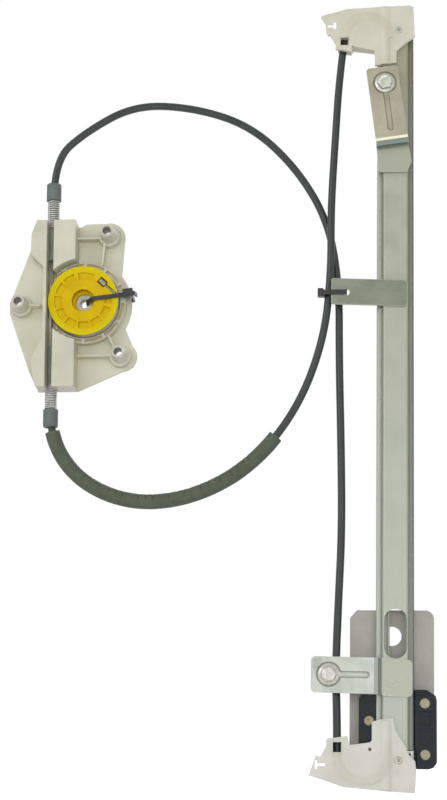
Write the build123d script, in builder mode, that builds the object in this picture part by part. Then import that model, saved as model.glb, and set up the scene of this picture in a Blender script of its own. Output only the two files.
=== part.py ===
from build123d import *
import math
import os

# Cable-drum window regulator: one guide rail with its lifting carrier, two bowden
# conduits and the drum housing that a motor bolts to.
# Millimetres. +Z runs up the rail, +X to the right and +Y away from the cabin side.
# The origin lies on the front face of the upper bracket, where the door panel seats.

os.makedirs("parts", exist_ok=True)

# ---- driving dimensions -------------------------------------------------------
SHEET = 1.5                # rail sheet
RAIL_X = 2.0               # rail centre line
WEB_FRONT = 8.0            # depth of the rail's raised web
WEB_HALF = 8.75
FLANGE_HALF = 13.0
FLANGE_SET_BACK = 5.5      # web front to flange front
LIP_DEPTH = 11.0           # web front to the end of the right lip
TRACK_GAP = 2.6            # folded track for the slider's tongue
TRACK_REACH = 3.8          # how near the folded layer comes to the centre line
RAIL_TOP = 52.0
RAIL_FOOT = -455.0
TONGUE_TOP = 62.0
TONGUE_FOOT = -468.0
TONGUE_LEFT = -2.8
NOTCH_FOOT = 46.0
BRACKET_SHEET = 2.0
EMBOSS = 1.3               # depth of the dish and bead pressed into an arm
BEAD_SLOPE = 35.0
BOLT_RADIUS = 3.0          # M6 shank
BOLT_FLANGE_RADIUS = 7.1
BOLT_ACROSS_FLATS = 10.0
UPPER_BOLT = (-6.0, 14.0)
LOWER_BOLT = (-43.0, -405.6)
LOWER_ARM_FRONT = 3.0
CABLE_RADIUS = 0.75
CABLE_DEPTH = 12.0         # depth of the cable plane in rail and guides
CABLE_X = -2.5             # cable line inside the rail
TOP_ARC = (-18.7, 50.0)    # centre of the cable's turn in the top guide
TOP_ARC_RADIUS = CABLE_X - TOP_ARC[0]
FOOT_ARC = (-19.75, -459.0)
FOOT_ARC_RADIUS = CABLE_X - FOOT_ARC[0]
CONDUIT_RADIUS = 2.75
CONDUIT_BORE = 1.05
SLEEVE_RADIUS = 5.25
SLEEVE_BORE = 2.9
DRUM_X = -218.7
DRUM_Z = -146.4
HOUSING_TILT = math.radians(1.1)
DRUM_RADIUS = 25.0
GROOVE_DEPTH = 2.85
DRUM_FRONT = 4.0
DRUM_BACK = 18.0
GROOVE_PITCH = 1.9
FIRST_GROOVE = 6.0
HUB_RADIUS = 6.1
HUB_FRONT = 12.5
HUB_BORE = 3.4
AXLE_HOLE = 2.9            # hole through the base behind the hub
HUB_CLEARANCE = 0.08
BASE_FRONT = 18.5
BASE_SHEET = 2.5
BLOCK_FRONT = -2.0
RING_FRONT = 11.8
RING_GAP = 0.6             # drum to ring
RING_WIDTH = 4.0
RING_WALL = 0.8            # walls on both sides of the ring's slots
TOP_END = (-34.9, 12.0, 51.8)        # upper conduit's end in the top guide
TOP_LEAD = (-38.6, 12.0, 21.5)       # and the point of its route below it
FOOT_END = (-37.0, 12.0, -457.2)     # lower conduit's end in the bottom guide
BOSS_RADIUS = 4.5
BOSS_NECK_RADIUS = 6.1     # where the boss meets its collar
BOSS_FOOT_RADIUS = 7.6
COLLAR_HEIGHT = 7.0
BUSH_RADIUS = 3.6
BUSH_BORE = 2.95
BUSH_LENGTH = 15.0
BUSH_POCKET = 5.2          # radius of the hollow behind a bushing
BLOCK_LEFT = -20.7
BLOCK_RIGHT = -5.2
HOUSING_TOP = 57.9
HOUSING_FOOT = -62.9
MOTOR_BOSSES = [(17.0, 49.3), (-45.7, -1.2), (25.8, -38.7)]
STEM_RADIUS = 3.0
STEM_FIT = 0.08
STEM_BORE = 1.1
CAP_RADIUS = 5.3
SPRING_WIRE = 0.5
SPRING_TURN = 4.0          # radius of the coil's centre line
SPRING_SEAT = 3.5          # depth of the spring's seat in the housing
CAP_LENGTH = 12.7
CAP_BEVEL = 0.9
UPPER_CAP = 75.8           # heights of the caps' spring seats above and below the drum
LOWER_CAP = -76.9
RUNNING_GAP = 0.4          # carrier to rail
PLATE_SHEET = 2.0
SLIDER_FRONT = 19.6        # front of the slider's body behind the rail
PLATE_FRONT = 24.0
GLASS_HOLE = (0.1, -378.3)
GLASS_HOLE_RADIUS = 6.6
RIVET_RADIUS = 2.0

# ---- sizes that follow --------------------------------------------------------
WEB_BACK = WEB_FRONT + SHEET
FLANGE_FRONT = WEB_FRONT + FLANGE_SET_BACK
FLANGE_BACK = FLANGE_FRONT + SHEET
TRACK_BACK = FLANGE_BACK + TRACK_GAP
LIP_END = WEB_FRONT + LIP_DEPTH
BASE_BACK = BASE_FRONT + BASE_SHEET
COLLAR_FRONT = BASE_FRONT - COLLAR_HEIGHT
BUSH_BACK = BLOCK_FRONT + BUSH_LENGTH
DRUM_FLOOR = DRUM_RADIUS - GROOVE_DEPTH
CABLE_TURN = DRUM_FLOOR + CABLE_RADIUS + 0.3
CHANNEL = -CABLE_TURN
RING_INNER = DRUM_RADIUS + RING_GAP
RING_OUTER = RING_INNER + RING_WIDTH
UPPER_GROOVE = FIRST_GROOVE + 3 * GROOVE_PITCH
LOWER_GROOVE = FIRST_GROOVE + 4 * GROOVE_PITCH
PLATE_BACK = PLATE_FRONT + PLATE_SHEET


def facing(depth):
    """Drawing plane seen from the cabin side, X right and Z up."""
    return Plane(origin=(0, depth, 0), x_dir=(1, 0, 0), z_dir=(0, -1, 0))


def housing(depth):
    """The same, centred on the drum and turned with its housing."""
    return Plane(
        origin=(DRUM_X, depth, DRUM_Z),
        x_dir=(math.cos(HOUSING_TILT), 0, math.sin(HOUSING_TILT)),
        z_dir=(0, -1, 0),
    )


def channel(depth, height, side=CHANNEL):
    """Plane square to the housing's cable channel at a height above the drum axis."""
    right = Vector(math.cos(HOUSING_TILT), 0, math.sin(HOUSING_TILT))
    up = Vector(-math.sin(HOUSING_TILT), 0, math.cos(HOUSING_TILT))
    middle = Vector(DRUM_X, depth, DRUM_Z) + right * side + up * height
    return Plane(origin=middle, x_dir=right, z_dir=up)


def slab(view, points, back, front, mode=Mode.ADD, corner=0):
    """An outline drawn on a view and given its thickness toward the cabin side."""
    with BuildSketch(view(back)) as face:
        with BuildLine():
            Polyline(*points, close=True)
        make_face()
        if corner:
            fillet(face.vertices(), corner)
    extrude(face.sketch, amount=back - front, mode=mode)


def block(view, left, right, foot, top, back, front, mode=Mode.ADD, corner=0):
    """A rectangular slab."""
    points = [(left, foot), (right, foot), (right, top), (left, top)]
    slab(view, points, back, front, mode, corner)


def disc(view, centre, radius, back, front, mode=Mode.ADD, top_radius=None):
    """A round boss or hole, tapered where a top radius is given."""
    with BuildSketch(view(back)) as face:
        with Locations(centre):
            Circle(radius)
    if top_radius is None:
        extrude(face.sketch, amount=back - front, mode=mode)
    else:
        slope = math.degrees(math.atan((radius - top_radius) / (back - front)))
        extrude(face.sketch, amount=back - front, taper=slope, mode=mode)


def ring_slot(view, inner, outer, middle, half, back, front):
    """A slot cut along a ring, by its radii and the angle of its middle and half."""
    with BuildSketch(view(back)) as pocket:
        with BuildLine():
            near = CenterArc((0, 0), inner, middle - half, 2 * half)
            far = CenterArc((0, 0), outer, middle - half, 2 * half)
            Line(near @ 0, far @ 0)
            Line(near @ 1, far @ 1)
        make_face()
    extrude(pocket.sketch, amount=back - front, mode=Mode.SUBTRACT)


def bead(start, end, half, back, front):
    """A round-ended groove with sloping sides, pressed into an arm's front."""
    with BuildSketch(facing(back)) as groove:
        with Locations(start, end):
            Circle(half)
        make_hull()
    extrude(groove.sketch, amount=back - front, taper=-BEAD_SLOPE, mode=Mode.SUBTRACT)


def rod(plane, radius, length, mode=Mode.ADD):
    """A round bar that leaves a plane along its normal."""
    with BuildSketch(plane) as face:
        Circle(radius)
    extrude(face.sketch, amount=length, mode=mode)


def rounded_radii(points):
    """Bend radii that use 45 percent of the shorter run at each corner."""
    radii = []
    for before, corner, after in zip(points, points[1:], points[2:]):
        first = Vector(*corner) - Vector(*before)
        second = Vector(*after) - Vector(*corner)
        turn = math.radians(first.get_angle(second))
        radii.append(0.45 * min(first.length, second.length) / math.tan(turn / 2))
    return radii


def ring_along(path, radius, bore):
    """A tube swept along a line."""
    with BuildSketch(Plane(origin=path @ 0, z_dir=path % 0)) as section:
        Circle(radius)
        if bore:
            Circle(bore, mode=Mode.SUBTRACT)
    sweep(section.sketch, path=path)


# ---- guide rail ---------------------------------------------------------------
# Hat section with a raised web. Its right flange ends in a lip and its left flange is
# folded back on itself, which makes the track that the slider's tongue runs in.
hat = [
    (-TRACK_REACH, TRACK_BACK + SHEET), (-FLANGE_HALF, TRACK_BACK + SHEET),
    (-FLANGE_HALF, FLANGE_FRONT), (-WEB_HALF, FLANGE_FRONT), (-WEB_HALF, WEB_FRONT),
    (WEB_HALF, WEB_FRONT), (WEB_HALF, FLANGE_FRONT), (FLANGE_HALF, FLANGE_FRONT),
    (FLANGE_HALF, LIP_END), (FLANGE_HALF - SHEET, LIP_END),
    (FLANGE_HALF - SHEET, FLANGE_BACK), (WEB_HALF - SHEET, FLANGE_BACK),
    (WEB_HALF - SHEET, WEB_BACK), (SHEET - WEB_HALF, WEB_BACK),
    (SHEET - WEB_HALF, FLANGE_BACK), (SHEET - FLANGE_HALF, FLANGE_BACK),
    (SHEET - FLANGE_HALF, TRACK_BACK), (-TRACK_REACH, TRACK_BACK),
]
with BuildPart() as guide_rail:
    with BuildSketch(Plane.XY.offset(RAIL_FOOT)) as section:
        with BuildLine():
            Polyline(*[(RAIL_X + x, y) for x, y in hat], close=True)
        make_face()
        outer_bends = [v for v in section.vertices() if v.Y < WEB_FRONT + 0.1
                       or (abs(v.X - RAIL_X) > FLANGE_HALF - 0.1 and v.Y < LIP_END - 0.1)]
        fillet(outer_bends, SHEET)
    extrude(section.sketch, amount=RAIL_TOP - RAIL_FOOT)
    # the cable turns over into the rail here, so the left side is cut away
    block(facing, RAIL_X - FLANGE_HALF - 1, RAIL_X + TONGUE_LEFT, NOTCH_FOOT, RAIL_TOP + 1,
          LIP_END + 2, WEB_FRONT - 1, Mode.SUBTRACT)
    block(facing, RAIL_X + TONGUE_LEFT, RAIL_X + WEB_HALF - SHEET, RAIL_TOP - 1, TONGUE_TOP,
          WEB_BACK, WEB_FRONT)
    block(facing, RAIL_X + TONGUE_LEFT, RAIL_X + WEB_HALF - SHEET, TONGUE_FOOT, RAIL_FOOT + 1,
          WEB_BACK, WEB_FRONT)
    with BuildSketch(facing(WEB_BACK + 1)) as slot:
        with Locations((RAIL_X + 0.2, -377.4)):
            SlotCenterToCenter(18.0, 15.6, rotation=90)
    extrude(slot.sketch, amount=SHEET + 2, mode=Mode.SUBTRACT)
    for height in (55.6, -461.8):
        disc(facing, (RAIL_X + 2.0, height), RIVET_RADIUS, WEB_BACK + 1, WEB_FRONT - 1,
             Mode.SUBTRACT)

# ---- brackets -----------------------------------------------------------------
ARM_BACK = BRACKET_SHEET
with BuildPart() as upper_bracket:
    slab(facing, [(-19.5, 24.1), (2.6, 27.1), (10.7, -27.6), (-12.0, -30.9)],
         ARM_BACK, 0)
    slab(facing, [(-12.0, -30.9), (10.7, -27.6), (11.0, -30.2), (-11.6, -33.4)],
         WEB_FRONT, 0)
    slab(facing, [(-11.6, -33.4), (11.0, -30.2), (13.2, -42.5), (10.2, -50.9), (-10.4, -50.9)],
         WEB_FRONT, WEB_FRONT - BRACKET_SHEET)
    corners = [e for e in upper_bracket.edges().filter_by(Axis.Y) if e.center().Z > 20]
    fillet(corners, 2.5)
    disc(facing, UPPER_BOLT, 9.6, ARM_BACK + EMBOSS, ARM_BACK)
    slab(facing, [(-8.6, 8.0), (-2.4, 8.5), (1.2, -22.6), (-4.9, -23.2)],
         ARM_BACK + EMBOSS, ARM_BACK)
    disc(facing, UPPER_BOLT, 7.6, EMBOSS, 0, Mode.SUBTRACT, top_radius=8.5)
    bead(UPPER_BOLT, (-1.9, -20.0), 1.4, EMBOSS, 0)
    disc(facing, UPPER_BOLT, BOLT_RADIUS, ARM_BACK + EMBOSS + 1, 0, Mode.SUBTRACT)

with BuildPart() as middle_bracket:
    slab(facing, [(-43.3, -128.9), (10.3, -130.3), (10.3, -149.1), (-43.3, -147.8)],
         WEB_FRONT, WEB_FRONT - SHEET, corner=2.0)
    disc(facing, (-32.6, -139.2), 2.3, WEB_FRONT + 1, WEB_FRONT - SHEET - 1, Mode.SUBTRACT)

LOWER_ARM_BACK = LOWER_ARM_FRONT + BRACKET_SHEET
JOGGLE_LEFT = -12.6
JOGGLE_RIGHT = -6.6
with BuildPart() as lower_bracket:
    slab(facing, [(-55.0, -393.7), (JOGGLE_LEFT, -394.0), (JOGGLE_LEFT, -418.4),
                  (-55.0, -417.8)], LOWER_ARM_BACK, LOWER_ARM_FRONT)
    with BuildSketch(Plane.XY.offset(-418.4)) as joggle:
        with BuildLine():
            Polyline((JOGGLE_LEFT, LOWER_ARM_FRONT), (JOGGLE_RIGHT, WEB_FRONT - BRACKET_SHEET),
                     (JOGGLE_RIGHT, WEB_FRONT), (JOGGLE_LEFT - 0.4, LOWER_ARM_BACK),
                     (JOGGLE_LEFT - 0.4, LOWER_ARM_FRONT), close=True)
        make_face()
    extrude(joggle.sketch, amount=24.4)
    slab(facing, [(JOGGLE_RIGHT, -394.0), (13.4, -395.2), (13.4, -419.9),
                  (JOGGLE_RIGHT, -419.6)], WEB_FRONT, WEB_FRONT - BRACKET_SHEET)
    ends = lower_bracket.edges().filter_by(Axis.Y).group_by(Axis.X)
    fillet(ends[0] + ends[-1], 3.0)
    disc(facing, LOWER_BOLT, 9.6, LOWER_ARM_BACK + EMBOSS, LOWER_ARM_BACK)
    block(facing, -38.0, -13.4, -408.8, -402.4, LOWER_ARM_BACK + EMBOSS, LOWER_ARM_BACK)
    disc(facing, LOWER_BOLT, 7.6, LOWER_ARM_FRONT + EMBOSS, LOWER_ARM_FRONT, Mode.SUBTRACT,
         top_radius=8.5)
    bead(LOWER_BOLT, (-17.6, LOWER_BOLT[1]), 1.4, LOWER_ARM_FRONT + EMBOSS, LOWER_ARM_FRONT)
    disc(facing, LOWER_BOLT, BOLT_RADIUS, LOWER_ARM_BACK + EMBOSS + 1, LOWER_ARM_FRONT,
         Mode.SUBTRACT)

# ---- mounting bolts and their weld nuts ---------------------------------------
NUT_HEIGHT = 4.4
bolt_seats = [(UPPER_BOLT, EMBOSS, ARM_BACK), (LOWER_BOLT, LOWER_ARM_FRONT + EMBOSS,
                                             LOWER_ARM_BACK)]
with BuildPart() as mounting_bolts:
    for centre, seat, arm_back in bolt_seats:
        disc(facing, centre, BOLT_RADIUS, arm_back + EMBOSS + NUT_HEIGHT, seat)
        disc(facing, centre, BOLT_FLANGE_RADIUS, seat, seat - 1.3, top_radius=6.5)
        with BuildSketch(facing(seat - 1.3)) as hexagon:
            with Locations(centre):
                RegularPolygon(BOLT_ACROSS_FLATS / 2, 6, major_radius=False, rotation=20)
        extrude(hexagon.sketch, amount=3.1)
        disc(facing, centre, 4.6, seat - 4.4, seat - 5.0, top_radius=3.9)

with BuildPart() as weld_nuts:
    for centre, seat, arm_back in bolt_seats:
        with BuildSketch(facing(arm_back + EMBOSS + NUT_HEIGHT)) as hexagon:
            with Locations(centre):
                RegularPolygon(BOLT_ACROSS_FLATS / 2, 6, major_radius=False, rotation=20)
                Circle(BOLT_RADIUS, mode=Mode.SUBTRACT)
        extrude(hexagon.sketch, amount=NUT_HEIGHT)

# ---- cable guides -------------------------------------------------------------
# Each guide is a front plate with walls behind it. A curved duct in it turns the
# cable from its conduit into the rail.
GUIDE_FRONT = WEB_FRONT - 3.0
GUIDE_BACK = 16.0
GUIDE_WALL = 1.8
DUCT_HALF = 2.8
RIB_HALF = 3.95            # half-round rib in front of the cable's straight way
RIB_RISE = 1.5
BEND_RISE = 0.8            # and over its bend
CLIP_SHEET = 1.2           # thin tab round a clip's tee slot


def duct(centre, radius, upward, legs):
    """Curved duct walls round the cable's turn, with a leg down each side."""
    sign = 1 if upward else -1
    with BuildSketch(facing(GUIDE_BACK)) as walls:
        with Locations(centre):
            Circle(radius + DUCT_HALF)
            Circle(radius - DUCT_HALF, mode=Mode.SUBTRACT)
        with Locations((centre[0], centre[1] - sign * 50)):
            Rectangle(200, 100, mode=Mode.SUBTRACT)
        for side, leg in zip((-1, 1), legs):
            with Locations((centre[0] + side * radius, centre[1] - sign * leg / 2)):
                Rectangle(2 * DUCT_HALF, leg)
    extrude(walls.sketch, amount=GUIDE_BACK - WEB_FRONT)


def low_rib(plane, rise):
    """Section of a low half-round rib on the guide's front."""
    with BuildSketch(plane) as rib:
        with BuildLine():
            ThreePointArc((-RIB_HALF, 0.3), (0, -rise), (RIB_HALF, 0.3))
            Line((RIB_HALF, 0.3), (-RIB_HALF, 0.3))
        make_face()
    return rib.sketch


def front_ribs(centre, radius, upward, foot, top, middle):
    """The straight rib over the rail's cable and the lower one that follows its bend."""
    straight = low_rib(Plane(origin=(middle, GUIDE_FRONT, foot)), RIB_RISE)
    extrude(straight, amount=top - foot)
    bend = low_rib(Plane(origin=(centre[0] + radius, GUIDE_FRONT, centre[1])), BEND_RISE)
    turn = Axis((centre[0], 0, centre[1]), (0, -1 if upward else 1, 0))
    revolve(bend, axis=turn, revolution_arc=180)


def cable_way(centre, radius, upward, reach):
    """Clearance bore for the cable through the duct."""
    sign = 1 if upward else -1
    with BuildLine(facing(CABLE_DEPTH)) as way:
        a = Line((centre[0] - radius, centre[1] - sign * reach),
                 (centre[0] - radius, centre[1]))
        if upward:
            b = CenterArc(centre, radius, 180, -180)
        else:
            b = CenterArc(centre, radius, 180, 180)
        Line((centre[0] + radius, centre[1]), (centre[0] + radius, centre[1] - sign * reach))
    with BuildSketch(Plane(origin=way.line @ 0, z_dir=way.line % 0)) as section:
        Circle(CABLE_RADIUS + 0.35)
    sweep(section.sketch, path=way.line, mode=Mode.SUBTRACT)


top_outline = [
    (-52.0, 66.6), (-32.7, 72.1), (11.5, 74.4), (14.5, 73.3), (15.6, 50.9), (7.5, 44.4),
    (2.5, 39.6), (2.5, 30.9), (-12.9, 28.8), (-13.5, 40.3), (-28.1, 43.4), (-29.3, 44.0),
    (-30.1, 39.4), (-41.5, 41.7), (-41.3, 45.4), (-45.2, 52.3), (-47.0, 52.3), (-48.7, 56.0),
    (-48.5, 59.8), (-52.0, 65.4),
]
top_walls = [
    (-39.6, 68.4), (-32.4, 70.4), (11.0, 72.7), (13.8, 71.8), (14.6, 53.0), (-0.6, 53.0),
    (-0.6, 46.0), (-11.6, 46.0), (-11.6, 41.2), (-28.1, 43.4), (-30.1, 40.4), (-39.6, 42.4),
]
with BuildPart() as top_cable_guide:
    slab(facing, top_outline, WEB_FRONT, GUIDE_FRONT)
    with BuildSketch(facing(GUIDE_BACK)) as shell:
        with BuildLine():
            Polyline(*top_walls, close=True)
        make_face()
        offset(amount=-GUIDE_WALL, kind=Kind.INTERSECTION, mode=Mode.SUBTRACT)
    extrude(shell.sketch, amount=GUIDE_BACK - WEB_FRONT)
    duct(TOP_ARC, TOP_ARC_RADIUS, True, (8.0, 3.6))
    front_ribs(TOP_ARC, TOP_ARC_RADIUS, True, 29.6, 73.4, -5.8)
    cable_way(TOP_ARC, TOP_ARC_RADIUS, True, 30.0)
    # the rail's web stands in here
    block(facing, RAIL_X + TONGUE_LEFT, RAIL_X + WEB_HALF - SHEET, NOTCH_FOOT, TONGUE_TOP,
          WEB_BACK, WEB_FRONT, Mode.SUBTRACT)
    # open window over the conduit's end, and the tee slot of a clip
    block(facing, -37.8, -32.0, 44.4, 50.0, CABLE_DEPTH, GUIDE_FRONT - 1, Mode.SUBTRACT)
    block(facing, -53.0, -40.2, 54.0, 67.0, WEB_FRONT, GUIDE_FRONT + CLIP_SHEET,
          Mode.SUBTRACT)
    block(facing, -46.9, -43.0, 57.9, 60.1, GUIDE_BACK, GUIDE_FRONT - 1, Mode.SUBTRACT)
    block(facing, -43.1, -41.1, 56.8, 62.2, GUIDE_BACK, GUIDE_FRONT - 1, Mode.SUBTRACT)
    lead_in = Vector(*TOP_END) - Vector(*TOP_LEAD)
    rod(Plane(origin=TOP_LEAD, z_dir=lead_in), CONDUIT_RADIUS + 0.15, lead_in.length + 0.3,
        Mode.SUBTRACT)
    # room for the rivet's tail
    disc(facing, (RAIL_X + 2.0, 55.6), 3.2, GUIDE_BACK, WEB_BACK, Mode.SUBTRACT)
    disc(facing, (RAIL_X + 2.0, 55.6), RIVET_RADIUS, GUIDE_BACK, GUIDE_FRONT - 1,
         Mode.SUBTRACT)

foot_outline = [
    (-44.4, -449.7), (-43.5, -448.4), (-30.4, -446.4), (-29.1, -451.3), (-29.1, -452.4),
    (-15.3, -450.4), (-13.8, -449.1), (-13.8, -436.9), (-12.1, -436.2), (-8.5, -435.1),
    (0.3, -434.2), (1.8, -441.9), (9.1, -453.2), (11.1, -458.2), (15.1, -462.1),
    (15.9, -467.6), (15.1, -483.1), (-3.7, -482.3), (-32.6, -480.1), (-52.7, -473.8),
    (-56.1, -473.0), (-51.3, -459.9), (-48.1, -460.3), (-44.1, -453.0),
]
foot_walls = [
    (-42.0, -450.6), (-31.6, -448.9), (-30.4, -453.6), (-12.6, -451.8), (-11.7, -455.4),
    (14.2, -455.4), (14.2, -481.8), (-4.0, -480.8), (-32.4, -478.6), (-42.4, -475.4),
    (-42.4, -453.6),
]
with BuildPart() as bottom_cable_guide:
    slab(facing, foot_outline, WEB_FRONT, GUIDE_FRONT)
    with BuildSketch(facing(GUIDE_BACK)) as shell:
        with BuildLine():
            Polyline(*foot_walls, close=True)
        make_face()
        offset(amount=-GUIDE_WALL, kind=Kind.INTERSECTION, mode=Mode.SUBTRACT)
    extrude(shell.sketch, amount=GUIDE_BACK - WEB_FRONT)
    duct(FOOT_ARC, FOOT_ARC_RADIUS, False, (8.0, 3.2))
    front_ribs(FOOT_ARC, FOOT_ARC_RADIUS, False, -482.0, -436.0, -4.5)
    cable_way(FOOT_ARC, FOOT_ARC_RADIUS, False, 30.0)
    block(facing, -39.8, -34.1, -457.2, -450.6, CABLE_DEPTH, GUIDE_FRONT - 1, Mode.SUBTRACT)
    block(facing, -57.0, -43.4, -474.5, -459.0, WEB_FRONT, GUIDE_FRONT + CLIP_SHEET,
          Mode.SUBTRACT)
    block(facing, -50.4, -45.0, -466.4, -464.6, GUIDE_BACK, GUIDE_FRONT - 1, Mode.SUBTRACT)
    block(facing, -51.8, -50.3, -468.4, -462.8, GUIDE_BACK, GUIDE_FRONT - 1, Mode.SUBTRACT)
    rod(Plane(origin=FOOT_END, z_dir=(0, 0, 1)).offset(-0.3), CONDUIT_RADIUS + 0.2,
        30.0, Mode.SUBTRACT)
    disc(facing, (-15.1, -455.0), 1.1, GUIDE_BACK, GUIDE_FRONT - 1, Mode.SUBTRACT)
    disc(facing, (RAIL_X + 2.0, -461.8), RIVET_RADIUS, GUIDE_BACK, GUIDE_FRONT - 1,
         Mode.SUBTRACT)
    # the rail's foot stands in here
    block(facing, RAIL_X + TONGUE_LEFT, RAIL_X + WEB_HALF - SHEET, TONGUE_FOOT,
          RAIL_FOOT + 1, WEB_BACK, WEB_FRONT, Mode.SUBTRACT)

with BuildPart() as guide_rivets:
    for height in (55.6, -461.8):
        centre = (RAIL_X + 2.0, height)
        disc(facing, centre, RIVET_RADIUS, WEB_BACK + 1.2, GUIDE_FRONT)
        disc(facing, centre, 2.6, GUIDE_FRONT, GUIDE_FRONT - 1.0, top_radius=1.6)
        disc(facing, centre, 2.9, WEB_BACK + 1.2, WEB_BACK)

# ---- drum housing -------------------------------------------------------------
base_outline = [
    (-33.0, 57.9), (-3.5, 57.9), (-0.5, 60.0), (17.0, 60.3), (28.0, 49.3), (25.8, 21.2),
    (28.6, -17.4), (36.6, -37.0), (34.4, -45.6), (-4.8, -62.8), (-33.2, -62.9),
    (-40.0, -48.4), (-54.7, -5.8), (-54.9, 2.9), (-52.6, 7.7), (-40.6, 40.8), (-39.7, 48.0),
]
left_wall = [
    (-33.0, HOUSING_TOP), (-36.7, 47.6), (-37.0, 33.0), (-27.8, 24.0), (-27.8, -27.0),
    (-36.0, -44.0), (-35.0, -50.0), (-32.0, HOUSING_FOOT), (-25.7, HOUSING_FOOT),
    (-25.7, HOUSING_TOP),
]
right_blocks = [(14.0, HOUSING_TOP), (HOUSING_FOOT, -14.0)]
RIB_FRONT = 10.0
RING_SLOTS = [(-107, 13.5), (-76, 13.5), (-45, 13.5), (-14, 13.5), (22, 5), (44, 12.5),
              (74, 13.5), (105, 13), (128.5, 6), (-131.5, 6)]
with BuildPart() as drum_housing:
    slab(housing, base_outline, BASE_BACK, BASE_FRONT)
    disc(housing, (17.0, 49.3), 11.2, BASE_BACK, BASE_FRONT)
    disc(housing, (26.6, -38.0), 10.6, BASE_BACK, BASE_FRONT)
    disc(housing, (0, 0), RING_OUTER + 3.7, BASE_BACK, BASE_FRONT)
    for foot, top in right_blocks:
        block(housing, BLOCK_LEFT, BLOCK_RIGHT, foot, top, BASE_FRONT, BLOCK_FRONT)
    disc(housing, (0, 0), RING_OUTER, RING_FRONT, BLOCK_FRONT - 1, Mode.SUBTRACT)
    disc(housing, (0, 0), RING_OUTER, BASE_FRONT, RING_FRONT)
    slab(housing, left_wall, BASE_FRONT, BLOCK_FRONT)
    disc(housing, (0, 0), RING_INNER, BASE_FRONT, BLOCK_FRONT - 1, Mode.SUBTRACT)
    for middle, half in RING_SLOTS:
        ring_slot(housing, RING_INNER + RING_WALL, RING_OUTER - RING_WALL, middle, half,
                  BASE_FRONT - 1, RING_FRONT)
    disc(housing, (0, 0), HUB_RADIUS, BASE_FRONT, HUB_FRONT)
    # stiffening ribs between the bosses, the blocks and the ring
    block(housing, BLOCK_RIGHT, 17.0, 46.6, 48.0, BASE_FRONT, RIB_FRONT)
    slab(housing, [(13.8, 47), (15.2, 47), (13.0, 27), (11.6, 27)], BASE_FRONT, RIB_FRONT)
    block(housing, BLOCK_RIGHT, 25.0, -39.4, -38.0, BASE_FRONT, RIB_FRONT)
    slab(housing, [(23.4, -38), (24.8, -38), (18.0, -24.0), (16.6, -24.0)],
         BASE_FRONT, RIB_FRONT)
    block(housing, -46.0, -31.6, -2.0, -0.6, BASE_FRONT, RIB_FRONT)
    for centre in MOTOR_BOSSES:
        disc(housing, centre, BOSS_FOOT_RADIUS, BASE_FRONT, COLLAR_FRONT + 1.0)
        disc(housing, centre, BOSS_FOOT_RADIUS, COLLAR_FRONT + 1.0, COLLAR_FRONT,
             top_radius=BOSS_FOOT_RADIUS - 0.7)
        disc(housing, centre, BOSS_NECK_RADIUS, COLLAR_FRONT, BLOCK_FRONT,
             top_radius=BOSS_RADIUS)
        disc(housing, centre, BUSH_RADIUS, BUSH_BACK, BLOCK_FRONT, Mode.SUBTRACT)
        disc(housing, centre, BUSH_POCKET, BASE_BACK, BUSH_BACK, Mode.SUBTRACT)
    disc(housing, (0, 0), AXLE_HOLE, BASE_BACK, HUB_FRONT, Mode.SUBTRACT)
    disc(housing, (0, 0), HUB_BORE, BASE_FRONT, HUB_FRONT, Mode.SUBTRACT)
    # open channel for the cable, with bores for the adjusters at both ends
    block(housing, CHANNEL - 2.5, CHANNEL + 2.5, HOUSING_FOOT - 1, HOUSING_TOP + 1,
          LOWER_GROOVE + CABLE_RADIUS + 0.5, BLOCK_FRONT - 1, Mode.SUBTRACT)
    rod(channel(UPPER_GROOVE, 16.0), STEM_RADIUS + STEM_FIT, 50.0, Mode.SUBTRACT)
    rod(channel(UPPER_GROOVE, HOUSING_TOP - SPRING_SEAT), SPRING_TURN + 0.8, 5.0,
        Mode.SUBTRACT)
    rod(channel(LOWER_GROOVE, -66.0), STEM_RADIUS + STEM_FIT, 50.0, Mode.SUBTRACT)
    rod(channel(LOWER_GROOVE, HOUSING_FOOT + SPRING_SEAT - 5.0), SPRING_TURN + 0.8, 5.0,
        Mode.SUBTRACT)
    # the raised parts are hollow behind
    for foot, top in ((33.0, HOUSING_TOP - 2.5), (HOUSING_FOOT + 2.5, -33.0)):
        block(housing, BLOCK_LEFT + 3.5, BLOCK_RIGHT - 2.0, foot, top,
              BASE_BACK, BLOCK_FRONT + 2.5, Mode.SUBTRACT)
    for foot, top in ((36.0, 45.4), (HOUSING_FOOT + 2.5, -47.0)):
        block(housing, -33.6, -29.4, foot, top, BASE_BACK, BLOCK_FRONT + 2.5, Mode.SUBTRACT)

with BuildPart() as motor_bushings:
    for centre in MOTOR_BOSSES:
        with BuildSketch(housing(BUSH_BACK)) as section:
            with Locations(centre):
                Circle(BUSH_RADIUS)
                Circle(BUSH_BORE, mode=Mode.SUBTRACT)
        extrude(section.sketch, amount=BUSH_LENGTH)

# ---- cable drum ---------------------------------------------------------------
def drum_face(depth):
    """Drawing plane on the drum, seen from the cabin side."""
    return Plane(origin=(DRUM_X, depth, DRUM_Z), x_dir=(1, 0, 0), z_dir=(0, -1, 0))


def polar(radius, turn):
    """Point on the drum's face at a radius and an angle in degrees."""
    return (radius * math.cos(math.radians(turn)), radius * math.sin(math.radians(turn)))


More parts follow.
